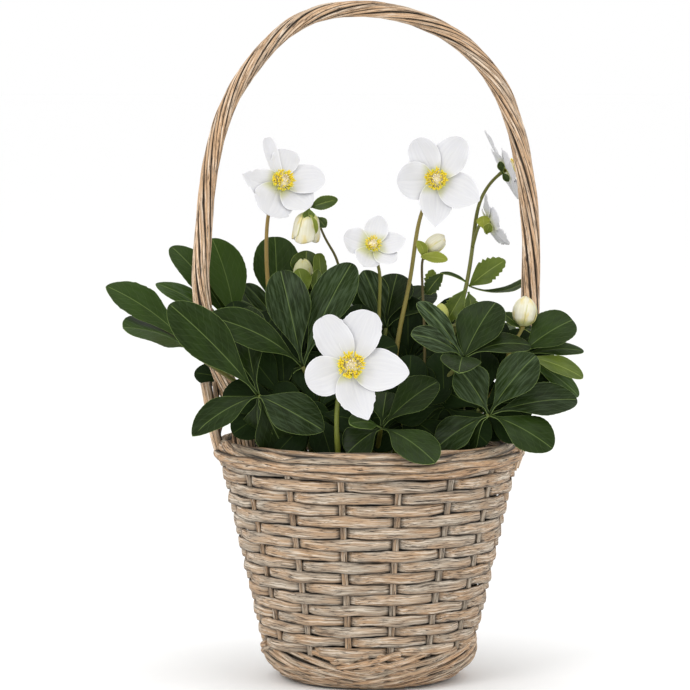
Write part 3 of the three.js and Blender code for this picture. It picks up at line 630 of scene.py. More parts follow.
def woven_bottom():
    """The bottom: eight spokes from edge to edge, with thin rods woven in rings over and under them."""
    shells = Shells()
    widest = BASE_RADIUS - 2.2
    angle = circle(192)
    a, b = 2.9 * np.cos(circle(8)), 1.7 * np.sin(circle(8))
    for ring in range(BOTTOM_RINGS):
        radius = 6 + (widest - 6) * ring / (BOTTOM_RINGS - 1)
        z = 4.0 + (-1.3 if ring % 2 else 1.3) * np.sin(angle * STAKES / 2)
        rings = on_ring(angle[:, None], radius + a, z[:, None] + b)
        lie = triple((angle * radius + 500 * ring)[:, None], a, b)
        shells.add(rings, lie, (chance.uniform(0.1, 0.8), 0.95, 0), looped=True)
    for spoke in range(STAKES // 2):
        way = heading(360 / STAKES * (spoke + 0.5), 0)
        shells.tube(np.linspace(-widest, widest, 40)[:, None] * way + UP * 4.2, 2.0, (0.5, 0.9, 0))
    made_piece("woven_bottom", shells, [WILLOW_ROD], "willow", "basket_base")


# The handle's middle line from left to right: x, z
HANDLE_LINE = [
    (-88, 160), (-91, 184), (-100, 207), (-109.5, 231), (-115.8, 256), (-118, 281), (-116.3, 309),
    (-114, 337), (-110, 365), (-102.5, 393), (-88.8, 420.5), (-66.4, 448), (-44, 463.5), (-20, 469.6),
    (7.6, 469.2), (35.6, 462.4), (63.5, 447.5), (88, 421), (100.6, 393), (107.5, 365), (111.5, 337),
    (113.5, 309), (113.6, 281), (112.5, 250), (110, 222), (106.5, 198), (102.5, 182), (101.5, 166),
]
# Single rods beside the handle's feet, cut off over the rim or leaving the bundle, that end behind the rim:
# radius, then places from the top down.
HANDLE_ENDS = [
    (3.9, [(-114.5, -8, 209), (-112.2, -8, 196), (-109, -8, 178), (-105.5, -9, 164), (-100, -9, 152)]),
    (2.0, [(-108.3, -2, 209), (-107, -2, 196), (-106.6, 0, 178), (-106, 2, 165), (-101, 2, 154)]),
    (1.9, [(-98, 14, 208), (-100, 15, 196), (-104, 16, 180), (-106.5, 17, 168), (-101, 17, 154)]),
    (2.1, [(109.5, -6, 236), (107.6, -14, 205), (106, -20, 182), (105.4, -23, 168), (101, -24, 149)]),
    (2.0, [(109.0, -3, 234), (107.6, -10, 205), (107.4, -14, 183), (107.8, -16, 168), (103, -17, 150)]),
    (1.9, [(110.5, 0, 230), (108.6, -4, 205), (108.6, -7, 183), (109.4, -9, 168), (104, -10, 151)]),
    (1.9, [(110.5, 6, 228), (108.6, 8, 205), (108.6, 9, 183), (109.4, 10, 168), (104, 10, 153)]),
]


def handle_rods():
    """The handle: thin rods laid side by side and twisted a little, whose ends spread and wrap the rim."""
    shells = Shells()
    line = curve_through([(x, 0, z) for x, z in HANDLE_LINE], 210)
    ahead = unit(np.gradient(line, axis=0))
    front = np.broadcast_to([0, -1.0, 0], ahead.shape)
    outer = np.cross(ahead, front)
    share = np.linspace(0, 1, len(line))
    near_foot = np.minimum(share, 1 - share)
    bundle = HANDLE_LEG_RADIUS + (HANDLE_TOP_RADIUS - HANDLE_LEG_RADIUS) * smooth(0.02, 0.32, near_foot)
    bundle = bundle * (1 + 0.1 * np.exp(-(((share - 0.72) / 0.12) ** 2)))
    wide = 1.15 - 0.15 * smooth(0.0, 0.1, near_foot)
    pace = 0.75 + 0.8 * smooth(0.15, 0.45, near_foot)
    turned = np.cumsum(pace) / pace.sum() * HANDLE_TURNS
    # painted light: the legs brighter, the top and the right half darker
    light = 1.2 - 0.22 * smooth(0.18, 0.45, near_foot) - 0.1 * smooth(0.45, 0.65, share)
    for rod in range(HANDLE_RODS):
        thick = HANDLE_ROD_RADIUS * chance.uniform(0.9, 1.15) * bundle / HANDLE_LEG_RADIUS
        turn = TURN * (rod / HANDLE_RODS + turned) + 0.16 * ripple(14 * share, 800 + rod)
        reach = (bundle - thick) * (1 + 0.07 * ripple(24 * share, 820 + rod))
        to_side, to_front = np.cos(turn)[:, None], np.sin(turn)[:, None]
        path = line + (outer * to_side * wide[:, None] + front * to_front) * reach[:, None]
        lit = chance.uniform(0.94, 1.12) * light
        look = triple(chance.uniform(0.1, 0.7), lit, 0)[:, None]
        thick = thick * (1 + 0.07 * ripple(30 * share, 840 + rod))
        shells.tube(path, thick, look, sides=10, out=outer * to_side + front * to_front, seam=HANDLE_SEAM)
    # a dark core inside the rods, darkened as painted shade in the gaps between them
    shells.tube(line, HANDLE_CORE_RADIUS * bundle / HANDLE_LEG_RADIUS, (0.6, 0.3, 0), sides=10)
    for thick, points in HANDLE_ENDS:
        path = curve_through(points, 40)
        out = np.broadcast_to(unit(np.array([*points[2][:2], 0.0])), path.shape)
        shells.tube(path, thick, washed((0.2, 0.7), (0.94, 1.06)), sides=12, out=out, seam=FREE_END_SEAM)
    made_piece("handle_rods", shells, [WILLOW_HANDLE], "willow", "basket_handle")


def grow_pot():
    """The nursery pot: a tapered shell with a rolled lip. Its profile gives radii and heights."""
    shells = Shells()
    low, top = POT_BOTTOM, POT_TOP
    profile = np.array([
        (20, low), (54, low), (57, low + 1.5), (58.5, low + 5), (84.6, top - 8), (85.6, top - 6),
        (88.0, top - 5.6), (88.3, top - 4), (88.3, top - 1), (87.6, top), (85.2, top), (84.4, top - 1),
        (84.2, top - 7), (57.0, low + 5), (54, low + 1.8), (20, low + 1.8),
    ])
    rings = on_ring(circle(96)[:, None], profile[:, 0], profile[:, 1])
    shells.add(rings, rings, 0, looped=True)
    made_piece("nursery_pot", shells, [POT_PLASTIC], "pot_plastic", "grow_pot")


def soil_surface():
    """Peat that fills the pot, with a crumbly top."""
    shells = Shells()
    widest = SOIL_RADIUS - 0.5
    radius = np.linspace(1.0, widest, 46)[:, None]
    x, y = radius * np.cos(circle(120)), radius * np.sin(circle(120))
    z = SOIL_TOP - 1.0 - 2 * (radius / widest) ** 2 + 0 * x
    for pace, height in ((0.11, 0.9), (0.31, 0.6), (0.83, 0.45), (1.9, 0.3)):
        across, along = pace * x + 3 * np.sin(0.7 * pace * y), pace * y + 2 * np.sin(pace * x)
        z = z + height * np.sin(across) * np.cos(along)
    top = triple(x, y, np.minimum(z, SOIL_TOP + 1.5))
    lower = triple(0.93 * x[-1:], 0.93 * y[-1:], 100.0)
    rings = np.concatenate([top, lower])[::-1]
    shells.add(rings, rings, 0)
    made_piece("peat_surface", shells, [PEAT], "soil", "soil")


# ---------------- blades
# The common leaflet. It is widest at peak, and tip and foot say how round its ends are: small is round, large
# is drawn in. arch lifts its middle, curl its tip and bend carries its middle sideways, as shares of its
# length. fold lifts both its edges, tilt one, and wave ripples them, as shares of half its width. notch is a
# dent in its tip, ragged an uneven edge, and a coarse one is made of fewer points.
LEAFLET = dict(
    peak=0.64, tip=0.5, foot=1.25, arch=0.09, tilt=0.08, curl=0, bend=0, wave=0.05, teeth=7, tooth=0.012,
    toothed_from=0.5, thick=0.8, narrowest=1.0, painted_sheen=0.12, notch=0, ragged=0, coarse=False,
)
HALF_ACROSS = [0.045, 0.12, 0.25, 0.42, 0.6, 0.76, 0.9, 0.975, 1]
ACROSS = np.array([-place for place in HALF_ACROSS[::-1]] + [0] + HALF_ACROSS)
TIP_PLACES = [0.978, 0.988, 0.995, 0.999]
PLAIN_STEPS = 14  # before the first tooth


def outline(t, peak, tip, foot):
    """Half width of a blade along its length: 1 at its peak, a round or pointed tip, a drawn-in foot."""
    x = np.abs(np.sin(math.pi * t ** (math.log(0.5) / math.log(peak))))
    return np.where(t > peak, x**tip, x**foot)


def blade(shells, start, end, width, face, slot=0, **shape):
    """A thin closed blade from start to end. face is the way its upper side looks."""
    s = {**LEAFLET, **shape}
    axis = end - start
    length = np.linalg.norm(axis)
    axis = axis / length
    side = unit(np.cross(axis, face))
    up = np.cross(side, axis)
    steps = 3 * s["teeth"]
    plain = np.linspace(0, s["toothed_from"], PLAIN_STEPS, endpoint=False)
    t = np.concatenate([plain, np.linspace(s["toothed_from"], 0.965, steps + 1), TIP_PLACES])
    bite = np.zeros(len(t))
    bite[PLAIN_STEPS : PLAIN_STEPS + steps + 1] = np.tile([1.0, 0.35, -0.25], s["teeth"] + 1)[: steps + 1]
    u = ACROSS
    if s["coarse"]:
        kept = [*range(0, len(t) - 5, 3), *range(len(t) - 5, len(t))]
        t, bite, u = t[kept], bite[kept], u[::2]
    half = width / 2 * outline(t, s["peak"], s["tip"], s["foot"]) * (1 - s["tooth"] * bite)
    half = half * (1 + s["ragged"] * smooth(0.45, 0.7, t) * ripple(31 * t, int(1000 * s["seed"])))
    half = np.maximum(half, s["narrowest"] * (1 - smooth(0.9, 1.0, t)) + 0.08)[:, None]
    t = t[:, None]
    middle = start + axis * (length * t) + up * (length * (4 * s["arch"] * t * (1 - t) + s["curl"] * t**3))
    middle = middle + side * (length * 4 * s["bend"] * t * (1 - t))
    across = half * u
    rise = half * (s["fold"] * np.abs(u) ** 1.6 + s["tilt"] * u)
    rise = rise + s["wave"] * half * u**2 * np.sin(11 * t + 2.2 * np.sign(u) + s["seed"])
    rib = np.exp(-((across / 0.9) ** 2)) * (1 - 0.6 * t)
    body = s["thick"] / 2 * (1 - 0.75 * u**6)
    notch = s["notch"] * length * np.exp(-((u / 0.22) ** 2)) * smooth(0.75, 1.0, t)

    def skin(lift):
        return middle[:, None] + side * across[..., None] + up * lift[..., None] - axis * notch[..., None]

    count = len(u)
    back = range(count - 2, 0, -1)
    rings = np.concatenate([skin(rise + body - 0.35 * rib), skin(rise - body - 0.55 * rib)[:, back]], axis=1)
    lie = triple(t * length, across, 1.0)[:, [*range(count), *back]]
    lie[:, count:, 2] = -1
    shells.add(rings, lie, triple(half, s["fresh"], s["painted_sheen"]), slot=slot)


# ---------------- leaves
# A leaf: its root in the soil, its hub where all leaflets start, the way they look (turn, lift), and the
# leaflets. Each is (turn, lift, length, width, how it differs from the common one).
LEAVES = {
    "leaf_front_left": ((-36, -34), (-76, -72, 206), (-112, 38), [
        (-153, -27, 56, 25, dict(notch=0.06, peak=0.58, tip=0.7)),
        (-169, 46, 88, 32, dict(fresh=0.2, arch=0.11)), (106, 55, 70, 32),
        (-17, -28, 53, 32, dict(curl=0.1, painted_sheen=0.3, tip=0.68, peak=0.52)), (38, -60, 44, 30),
        (82, -56, 42, 26),
    ]),
    "leaf_left": ((-44, -10), (-119, -30, 229), (-120, 55), [
        (-170, 38, 81, 29, dict(fresh=0.5, tip=0.6, peak=0.68, ragged=0.04)),
        (-148, 21, 63, 38, dict(fresh=0.55, tip=0.42)), (80, 20, 30, 16, dict(fresh=0.1)),
    ]),
    "leaf_left_high": ((-42, 12), (-94, 20, 240), (-60, 30), [
        (163, 52, 79, 26, dict(fresh=0.5)), (160, 30, 71, 17, dict(fresh=1.0, painted_sheen=0.7, tip=0.6)),
        (160, 75, 71, 33, dict(fresh=1.0)), (148, -34, 30, 18),
    ]),
    "leaf_middle_left": ((-22, -28), (-46, -51, 224), (-95, 35), [
        (150, 75, 68, 31, dict(painted_sheen=0.5, tip=0.42)), (-162, 28, 77, 27, dict(arch=0.15, wave=0.12)),
        (33, 60, 81, 31, dict(painted_sheen=0.5)), (135, -30, 41, 28),
    ]),
    "leaf_back_left": ((-30, 26), (-66, 42, 248), (-80, 30), [
        (100, 84, 61, 34, dict(fresh=0.35, tip=0.4)), (-156, 48, 37, 14, dict(painted_sheen=0.6)), (142, 22, 40, 24),
        (60, 55, 48, 24, dict(painted_sheen=0.3)),
    ]),
    "leaf_middle": ((8, 10), (12, 12, 246), (-95, 40), [
        (-150, 66, 45, 22, dict(painted_sheen=0.7)), (60, 66, 41, 30), (30, 33, 47, 26),
    ]),
    "leaf_middle_right": ((24, -26), (65, -50, 230), (-92, 50), [
        (-177, 50, 50, 16, dict(painted_sheen=0.9)), (-147, 22, 47, 24, dict(painted_sheen=0.7)),
        (42, 50, 48, 35, dict(fresh=0.15, peak=0.54, foot=0.9)), (10, 9, 48, 22, dict(arch=0.15)),
        (-96, -8, 46, 28),
    ]),
    "leaf_front_right": ((34, -40), (82, -64, 192), (-92, 42), [
        (-169, 56, 39, 28, dict(painted_sheen=0.5)), (-4, 52, 52, 32, dict(painted_sheen=0.5)), (6, 9, 62, 30, dict(painted_sheen=0.3)),
        (-23, -25, 51, 32, dict(fresh=0.25)), (-174, -32, 42, 26, dict(painted_sheen=0.3)), (158, -48, 34, 22),
    ]),
    "leaf_front_middle": ((4, -40), (8, -74, 184), (-90, 48), [
        (3, 39, 50, 31), (-48, -20, 57, 31, dict(fresh=0.25)), (-159, -34, 30, 26),
        (-130, 9, 34, 16, dict(fresh=0.6)), (77, 55, 28, 22),
    ]),
    "leaf_right": ((42, -14), (104, -34, 230), (-88, 45), [
        (8, 33, 45, 34, dict(fresh=0.3, tip=0.36)), (14, 3, 47, 13, dict(fresh=0.4)),
        (-19, -17, 48, 17, dict(slot=3, fresh=0.3)), (-3, -34, 50, 17, dict(fresh=0.8, painted_sheen=0.5)),
    ]),
}

# Small leaves that fill the crown, in a darker finish that paints their shade, written as those are, and made
# with the leaf they are listed under.
INNER_LEAVES = {
    "leaf_front_left": [
        ((-34, -40), (-58, -44, 198), (-95, 22), [(197, -28, 43, 26)]),
        ((-34, -44), (-58, -48, 200), (-95, 25), [
            (165, 50, 48, 26), (100, 72, 52, 27), (20, 48, 42, 26), (190, 5, 44, 26), (-20, -30, 36, 24)])],
    "leaf_left": [
        ((-40, -22), (-82, -18, 218), (-100, 30), [
            (165, 42, 40, 24), (130, 66, 52, 28), (50, 58, 48, 28), (-30, -30, 40, 26)])],
    "leaf_left_high": [((-40, 20), (-90, 31, 205), (-96, 25), [(178, 12, 35, 17)])],
    "leaf_middle_left": [
        ((-20, -36), (-38, -48, 190), (-92, 20), [(20, 26, 36, 25), (-30, -40, 36, 24)]),
        ((-18, -44), (-36, -54, 192), (-92, 20), [
            (170, 20, 38, 25), (120, 70, 42, 26), (30, 55, 40, 26), (-10, -10, 40, 26), (200, -42, 40, 26),
            (-60, -55, 34, 24)]),
        ((-30, -14), (-42, -30, 212), (-92, 15), [
            (178, 10, 34, 24), (120, 60, 40, 26), (40, 60, 38, 26), (-5, -5, 36, 24), (190, -40, 34, 24)])],
    "leaf_back_left": [
        ((-20, 14), (-40, 4, 232), (-90, 30), [
            (160, 40, 42, 25), (100, 70, 46, 27), (30, 50, 40, 26), (-10, -10, 38, 25)])],
    "leaf_middle": [
        ((14, 4), (30, 8, 220), (-92, 20), [(90, 74, 38, 28), (20, 42, 34, 26), (160, 42, 34, 26)]),
        ((22, 14), (31, 18, 212), (-92, 25), [(92, 84, 36, 30), (20, 60, 36, 26)]),
        ((18, 4), (28, 8, 222), (-95, 30), [
            (150, 50, 46, 26), (90, 74, 48, 28), (30, 50, 44, 28), (-170, 5, 36, 24), (-10, 10, 36, 24)]),
        ((6, 14), (12, 14, 244), (-92, 35), [(185, 58, 45, 25)]),
        ((-6, -16), (-14, -28, 224), (-92, 28), [
            (165, 45, 42, 26), (60, 66, 44, 27), (10, 20, 36, 25), (-170, -20, 36, 24), (-10, -40, 36, 25)])],
    "leaf_middle_right": [
        ((34, -34), (52, -48, 196), (-95, 25), [
            (160, 40, 36, 24), (95, 70, 40, 26), (200, -5, 40, 26), (-160, -40, 36, 25),
            (-20, -38, 40, 26)])],
    "leaf_front_right": [
        ((44, -30), (74, -38, 192), (-90, 20), [(2, 4, 40, 27)]),
        ((46, -38), (76, -44, 194), (-90, 22), [
            (175, 25, 34, 24), (85, 62, 44, 27), (190, -28, 36, 25), (-10, -30, 38, 25), (15, 30, 44, 27)]),
        ((40, -20), (66, -30, 180), (-90, 15), [
            (-20, 5, 36, 25), (40, 55, 40, 27), (-170, 10, 36, 26), (150, 60, 36, 25)])],
    "leaf_front_middle": [
        ((12, -40), (28, -48, 186), (-92, 20), [(-170, -28, 34, 25), (-172, 12, 34, 25)]),
        ((14, -46), (26, -52, 190), (-92, 22), [
            (150, 45, 36, 24), (80, 68, 44, 26), (25, 40, 40, 26), (190, -5, 36, 24), (-15, -35, 38, 24)]),
        ((-8, -30), (-22, -44, 186), (-92, 20), [
            (150, 45, 34, 24), (85, 75, 40, 26), (30, 40, 34, 24), (185, -8, 34, 24), (-5, -15, 32, 24)])],
    "leaf_right": [
        ((40, -8), (106, -20, 221), (-92, 25), [(12, 24, 25, 22)]),
        ((44, -18), (84, -26, 216), (-92, 32), [
            (160, 50, 36, 24), (80, 70, 42, 26), (20, 40, 44, 26), (-10, 0, 44, 26), (-170, -20, 34, 24)])],
    "leaf_back_1": [
        ((34, 12), (56, 20, 224), (-80, 35), [
            (150, 50, 44, 26), (70, 66, 46, 27), (10, 40, 44, 26), (-20, 0, 40, 25)])],
}

# The leaves behind open outward in a hand round the hub: compass turn, reach of the hub, height, length.
# Each leaflet of a hand: turn, lift, and length beside the longest.
BACK_LEAVES = [
    (24, 92, 246, 66), (56, 84, 216, 62), (78, 96, 200, 64), (98, 74, 252, 66), (122, 96, 214, 66),
    (152, 84, 200, 38), (60, 46, 236, 40), (118, 50, 232, 30),
]
HAND = [(-96, -14, 0.7), (-50, -10, 0.92), (0, -2, 1.0), (50, -10, 0.92), (96, -14, 0.7)]


def back_leaf(turn, reach, height, length):
    x, y, _ = reach * heading(turn, 0)
    hand = [(turn + more, lift, share * length, 0.4 * length, dict(curl=-0.12)) for more, lift, share in HAND]
    return (0.4 * x, 0.4 * y), (x, y, height), (turn, 70), hand


def rooted(root, *places, count):
    """A smooth line from the soil through the given places, with its lower end down in the soil."""
    line = curve_through([(*root, SOIL_TOP + 1), *places], count)
    return np.vstack([[*root, SOIL_TOP - ROOT_DEPTH], line])


def grow_leaf(shells, root, hub, face, leaflets, **common):
    """A stalk with its leaflets. common holds what they all have."""
    rise = [r + 0.42 * (h - r) for r, h in zip(root, hub)] + [SOIL_TOP + 0.62 * (hub[2] - SOIL_TOP)]
    line = rooted(root, rise, hub, count=26)
    shells.tube(line, np.linspace(*LEAF_STALK, len(line)), (chance.uniform(0.1, 0.5), 1, 0), sides=10, slot=1)
    for number, (turn, lift, length, width, *differs) in enumerate(leaflets):
        way = heading(turn, lift)
        own = dict(common, fold=0.04 if number % 2 else 0.14, seed=chance.uniform(0, 6))
        own["fresh"] = chance.uniform(0.0, 0.2)
        own.update(*differs)
        blade(shells, hub + way * 0.6, hub + way * length, width, heading(*face), **own)


def leaf(name, plan):
    shells = Shells()
    grow_leaf(shells, *plan)
    for inner_plan in INNER_LEAVES.get(name, []):
        grow_leaf(shells, *inner_plan, slot=2, coarse=True)
    finishes = [MATURE_LEAF, LEAF_STALK_SKIN, SHADED_LEAF, YOUNG_LEAF]
    made_piece(name.replace("leaf_", "") + "_leaf", shells, finishes, "leaf", name)


# ---------------- blooms
# face: the way a bloom looks (turn, lift). cup: how far its petals lean forward. heart: the radius of its
# stamens. Petals are (clock angle from the top, length, width, how it differs).
BLOOMS = {
    "bloom_front": dict(centre=(-13, -95, 228), face=(-88, 12), cup=0.1, heart=10.3, petals=[
        (-31.5, 38.5, 25, dict(tip=0.34, peak=0.52, ragged=0.03, notch=0.03)),
        (20, 39.5, 29, dict(tip=0.38, peak=0.55, bend=-0.05, ragged=0.03)),
        (98, 40, 30, dict(tip=0.66, peak=0.44, ragged=0.02)),
        (163, 39, 27, dict(tip=0.8, peak=0.42, bend=0.06, ragged=0.08)),
        (249, 32.5, 27.5, dict(tip=0.42, peak=0.54)),
    ]),
    "bloom_upper_left": dict(centre=(-61.5, -4, 349), face=(-72, 22), cup=0.14, heart=9, petals=[
        (-15, 33, 10.5, dict(fold=0.35, peak=0.66, tip=0.26, foot=0.25)),
        (15, 24, 20, dict(tip=0.28, peak=0.66)),
        (87, 31, 23, dict(tip=0.38, bend=-0.04)), (138, 27, 26), (209, 29, 30, dict(tip=0.36, ragged=0.06)),
        (280, 30, 21, dict(tip=0.9, peak=0.4, ragged=0.14, bend=-0.1)),
    ]),
    "bloom_middle": dict(centre=(2, -27, 306), face=(-80, 24), cup=0.14, heart=6.4, petals=[
        (17, 22, 17), (82, 24, 17, dict(tip=0.75)), (128, 20, 17), (205, 18, 19, dict(tip=0.6)),
        (287, 21, 19, dict(tip=0.4)),
    ]),
    "bloom_upper_right": dict(centre=(47.5, -2, 351), face=(-94, 10), cup=0.12, heart=8.8, petals=[
        (-28, 32, 22, dict(tip=0.4, peak=0.56)), (33, 34, 25, dict(tip=0.42, bend=-0.04)),
        (117, 34, 26, dict(tip=0.7, peak=0.46)), (181, 34, 24, dict(tip=0.8, peak=0.42)),
        (267, 28, 27, dict(tip=0.46)),
    ]),
    "bloom_far_right": dict(centre=(98.5, 37, 357.5), face=(8, 27), cup=-0.02, heart=6, petals=[
        (-4, 32, 23, dict(ragged=0.05, curl=-0.06, tip=0.4)), (72, 28, 24), (144, 31, 24, dict(tip=0.8)),
        (208, 34, 25, dict(tip=0.8)), (284, 28, 26),
    ]),
    "bloom_half_open": dict(centre=(84.6, 10, 321), face=(16, 22), cup=0.2, heart=5, petals=[
        (-10, 20, 15, dict(tip=0.7, ragged=0.12)), (80, 17, 15), (150, 22, 16, dict(tip=0.8, ragged=0.15)),
        (212, 22, 16, dict(tip=0.7, ragged=0.2)), (285, 16, 17, dict(ragged=0.1)),
    ]),
}
PETAL_SHAPE = dict(
    peak=0.5, foot=0.6, arch=-0.06, fold=0.1, tilt=0.11, wave=0.08, teeth=5, tooth=0.008, toothed_from=0.55,
    thick=0.6, narrowest=1.8, fresh=0.0, painted_sheen=0, curl=0.03,
)
DISC_RADIUS = 4.2  # of the small disc that the petals grow from
DISC_HALF = 1.4  # half its thickness
NECTARIES = 12
STAMENS = 80
CARPELS = 8


def bloom_frame(centre, face):
    """A bloom's middle, the way it looks, and its right and top as seen from its front."""
    front = heading(*face)
    right = unit(np.cross(UP, front))
    return np.array(centre, float), front, right, np.cross(front, right)


def bloom(name, centre, face, cup, heart, petals):
    """A ring of petals, and a heart: nectary tubes round the foot, many stamens, carpels in the middle."""
    shells = Shells()
    middle, front, right, top = bloom_frame(centre, face)
    for clock, length, width, *differs in petals:
        out = top * math.cos(math.radians(clock)) + right * math.sin(math.radians(clock))
        own = dict(PETAL_SHAPE, seed=chance.uniform(0, 6))
        own.update(*differs)
        blade(shells, middle + out * 1.5, middle + out * length + front * cup * length, width, front, **own)
    path = middle + front * np.array([-DISC_HALF, -0.6, 0.6, DISC_HALF])[:, None]
    shells.tube(path, np.array([1.9, DISC_RADIUS, DISC_RADIUS, 2.6]), (4, 1, 0), sides=20)
    made_piece(name + "_petal_ring", shells, [PETAL], "petal", name + "_petals")

    shells = Shells()
    floor = middle + front * (DISC_HALF + 0.2)
    scale = heart / 7.5

    def grown(places, count, radius, sides, slot):
        """A fine tube through places over the floor of the bloom: turn, radius and height."""
        points = [floor + (top * math.cos(a) + right * math.sin(a)) * r + front * h for a, r, h in places]
        path = curve_through(points, count)
        shells.tube(path, radius, (0, 1, 0), sides=sides, slot=slot)
        return path

    dome = floor + front * (heart * np.array([-0.02, 0.14, 0.42, 0.6, 0.68]))[:, None]
    shells.tube(dome, heart * np.array([0.5, 0.52, 0.44, 0.3, 0.06]), (0, 1, 0), sides=16, slot=1)
    for number in range(NECTARIES):
        turn = TURN * (number + chance.uniform(-0.2, 0.2)) / NECTARIES
        places = [(turn, 2.6 * scale, 0), (turn, 4.5 * scale, scale), (turn, 5.8 * scale, 2.6 * scale)]
        grown(places, 7, np.linspace(0.55, 0.95, 7) * scale, 6, 2)
    for number in range(int(STAMENS * scale)):
        turn = chance.uniform(0, TURN)
        ring = chance.uniform(0.3, 0.62) if number % 5 == 0 else chance.uniform(0.6, 1.0)
        reach = 0.85 * heart * ring * chance.uniform(0.94, 1.06)
        height = heart * (1.12 - 0.6 * ring**2) * chance.uniform(0.85, 1.1)
        foot = (1.5 + 1.3 * ring) * scale
        sway = chance.uniform(-0.25, 0.25)
        places = [(turn, foot, 0), (turn + sway / 2, foot + 0.25 * reach, 0.55 * height)]
        path = grown([*places, (turn + sway, reach, height)], 7, 0.24 * scale + 0.06, 5, 1)
        way = unit(unit(path[-1] - path[-2]) + 0.32 * chance.uniform(-1, 1, 3))
        anther = path[-1] + way * np.linspace(-1.35, 1.35, 6)[:, None] * scale
        plump = np.array([0.12, 0.32, 0.38, 0.38, 0.32, 0.12]) * scale * chance.uniform(0.85, 1.15)
        shells.tube(anther, plump, (0, 1, 0), sides=6)
    girth = np.array([0.5, 0.9, 1.0, 0.85, 0.5, 0.34, 0.28, 0.26, 0.34]) * scale
    for number in range(CARPELS):
        turn = TURN * number / CARPELS + 0.3
        places = [(turn, 0.7 * scale, 0), (turn, 1.1 * scale + 0.2, 0.45 * heart)]
        grown([*places, (turn + 0.2, 1.9 * scale, 1.05 * heart)], 9, girth, 7, 3)
    made_piece(name + "_stamens", shells, [ANTHER, FILAMENT, NECTARY, CARPEL], "heart", name + "_heart")


# ---------------- buds
# base: where a bud sits on its stem. axis: the way it points (turn, lift).
BUDS = {
    "bud_hanging": dict(base=(-42.7, -5, 328.6), axis=(180, -85), length=21, radius=9.6, form="bell"),
    "bud_upper_right": dict(base=(40, 8, 300), axis=(5, 40), length=16.5, radius=6.3, form="wedge"),
    "bud_right": dict(base=(106.8, -29, 250.2), axis=(10, 84), length=20.5, radius=8.7, form="globe"),
    "bud_left": dict(base=(-45.5, 19, 277), axis=(120, 80), length=17, radius=7, form="globe", green=0.4),
    "bud_green": dict(base=(52, -9, 252), axis=(150, 78), length=12.5, radius=4.8, form="globe", green=0.85),
}
BUD_STEPS = [0, 0.08, 0.22, 0.42, 0.62, 0.82, 0.93, 1]
BUD_FORMS = {  # girth at each step, how far round a petal reaches at the tip, how pointed and how uneven
    "wedge": ([0.3, 0.6, 0.86, 1, 0.98, 0.88, 0.7, 0.3], 50, 0.05, 0.05),
    "globe": ([0.3, 0.62, 0.9, 1, 0.97, 0.78, 0.56, 0.24], 52, 0.07, 0.03),
    "bell": ([0.3, 0.62, 0.86, 0.97, 1.0, 1.04, 1.04, 1.0], 54, 0.14, 0.06),
}


def bud(name, base, axis, length, radius, form, green=0.0):
    """Five petals lapped over each other, each with one edge under its neighbour and the other over the
    next, and three more inside, which show where its mouth is open."""
    shells = Shells()
    base, way, right, top = bloom_frame(base, axis)
    girth, wide, point, uneven = BUD_FORMS[form]
    t = np.linspace(0, 1, 20)
    s = np.linspace(-1, 1, 15)

    def lap(turn, reach, length):
        around = turn + np.radians(64 + (wide - 64) * t**2)[:, None] * s
        out = top * np.cos(around)[..., None] + right * np.sin(around)[..., None]
        crease = 1 + 0.025 * np.cos(5 * s + turn) + 0.02 * np.cos(9 * s - turn)
        breadth = reach * np.interp(t, BUD_STEPS, girth)[:, None]
        height = (FIT + t * length)[:, None] * (1 - point * np.abs(s) ** 1.6 - uneven * math.cos(3 * turn))
        outside = base + out * (breadth * (0.955 + 0.06 * s) * crease)[..., None] + way * height[..., None]
        half = breadth + 0.5
        lie = triple((t * length)[:, None], s * half, 1.0)
        rings = np.concatenate([outside, (outside - out * 0.6)[:, ::-1]], axis=1)
        shells.add(rings, np.concatenate([lie, lie[:, ::-1]], axis=1), triple(half, green, 0.0))

    for number in range(5):
        lap(TURN * number / 5, radius, length)
    for number in range(3):
        lap(TURN * number / 3 + 0.5, 0.74 * radius, 0.9 * length)
    made_piece(name + "_wrapped_petals", shells, [BUD_PETAL], "bud", name)


# ---------------- stems
BRACT = dict(
    peak=0.58, tip=0.55, foot=0.9, teeth=6, toothed_from=0.38, fold=0.2, tilt=0.0, wave=0.12,
    arch=0.08, thick=0.7, painted_sheen=0, narrowest=0.8,
)
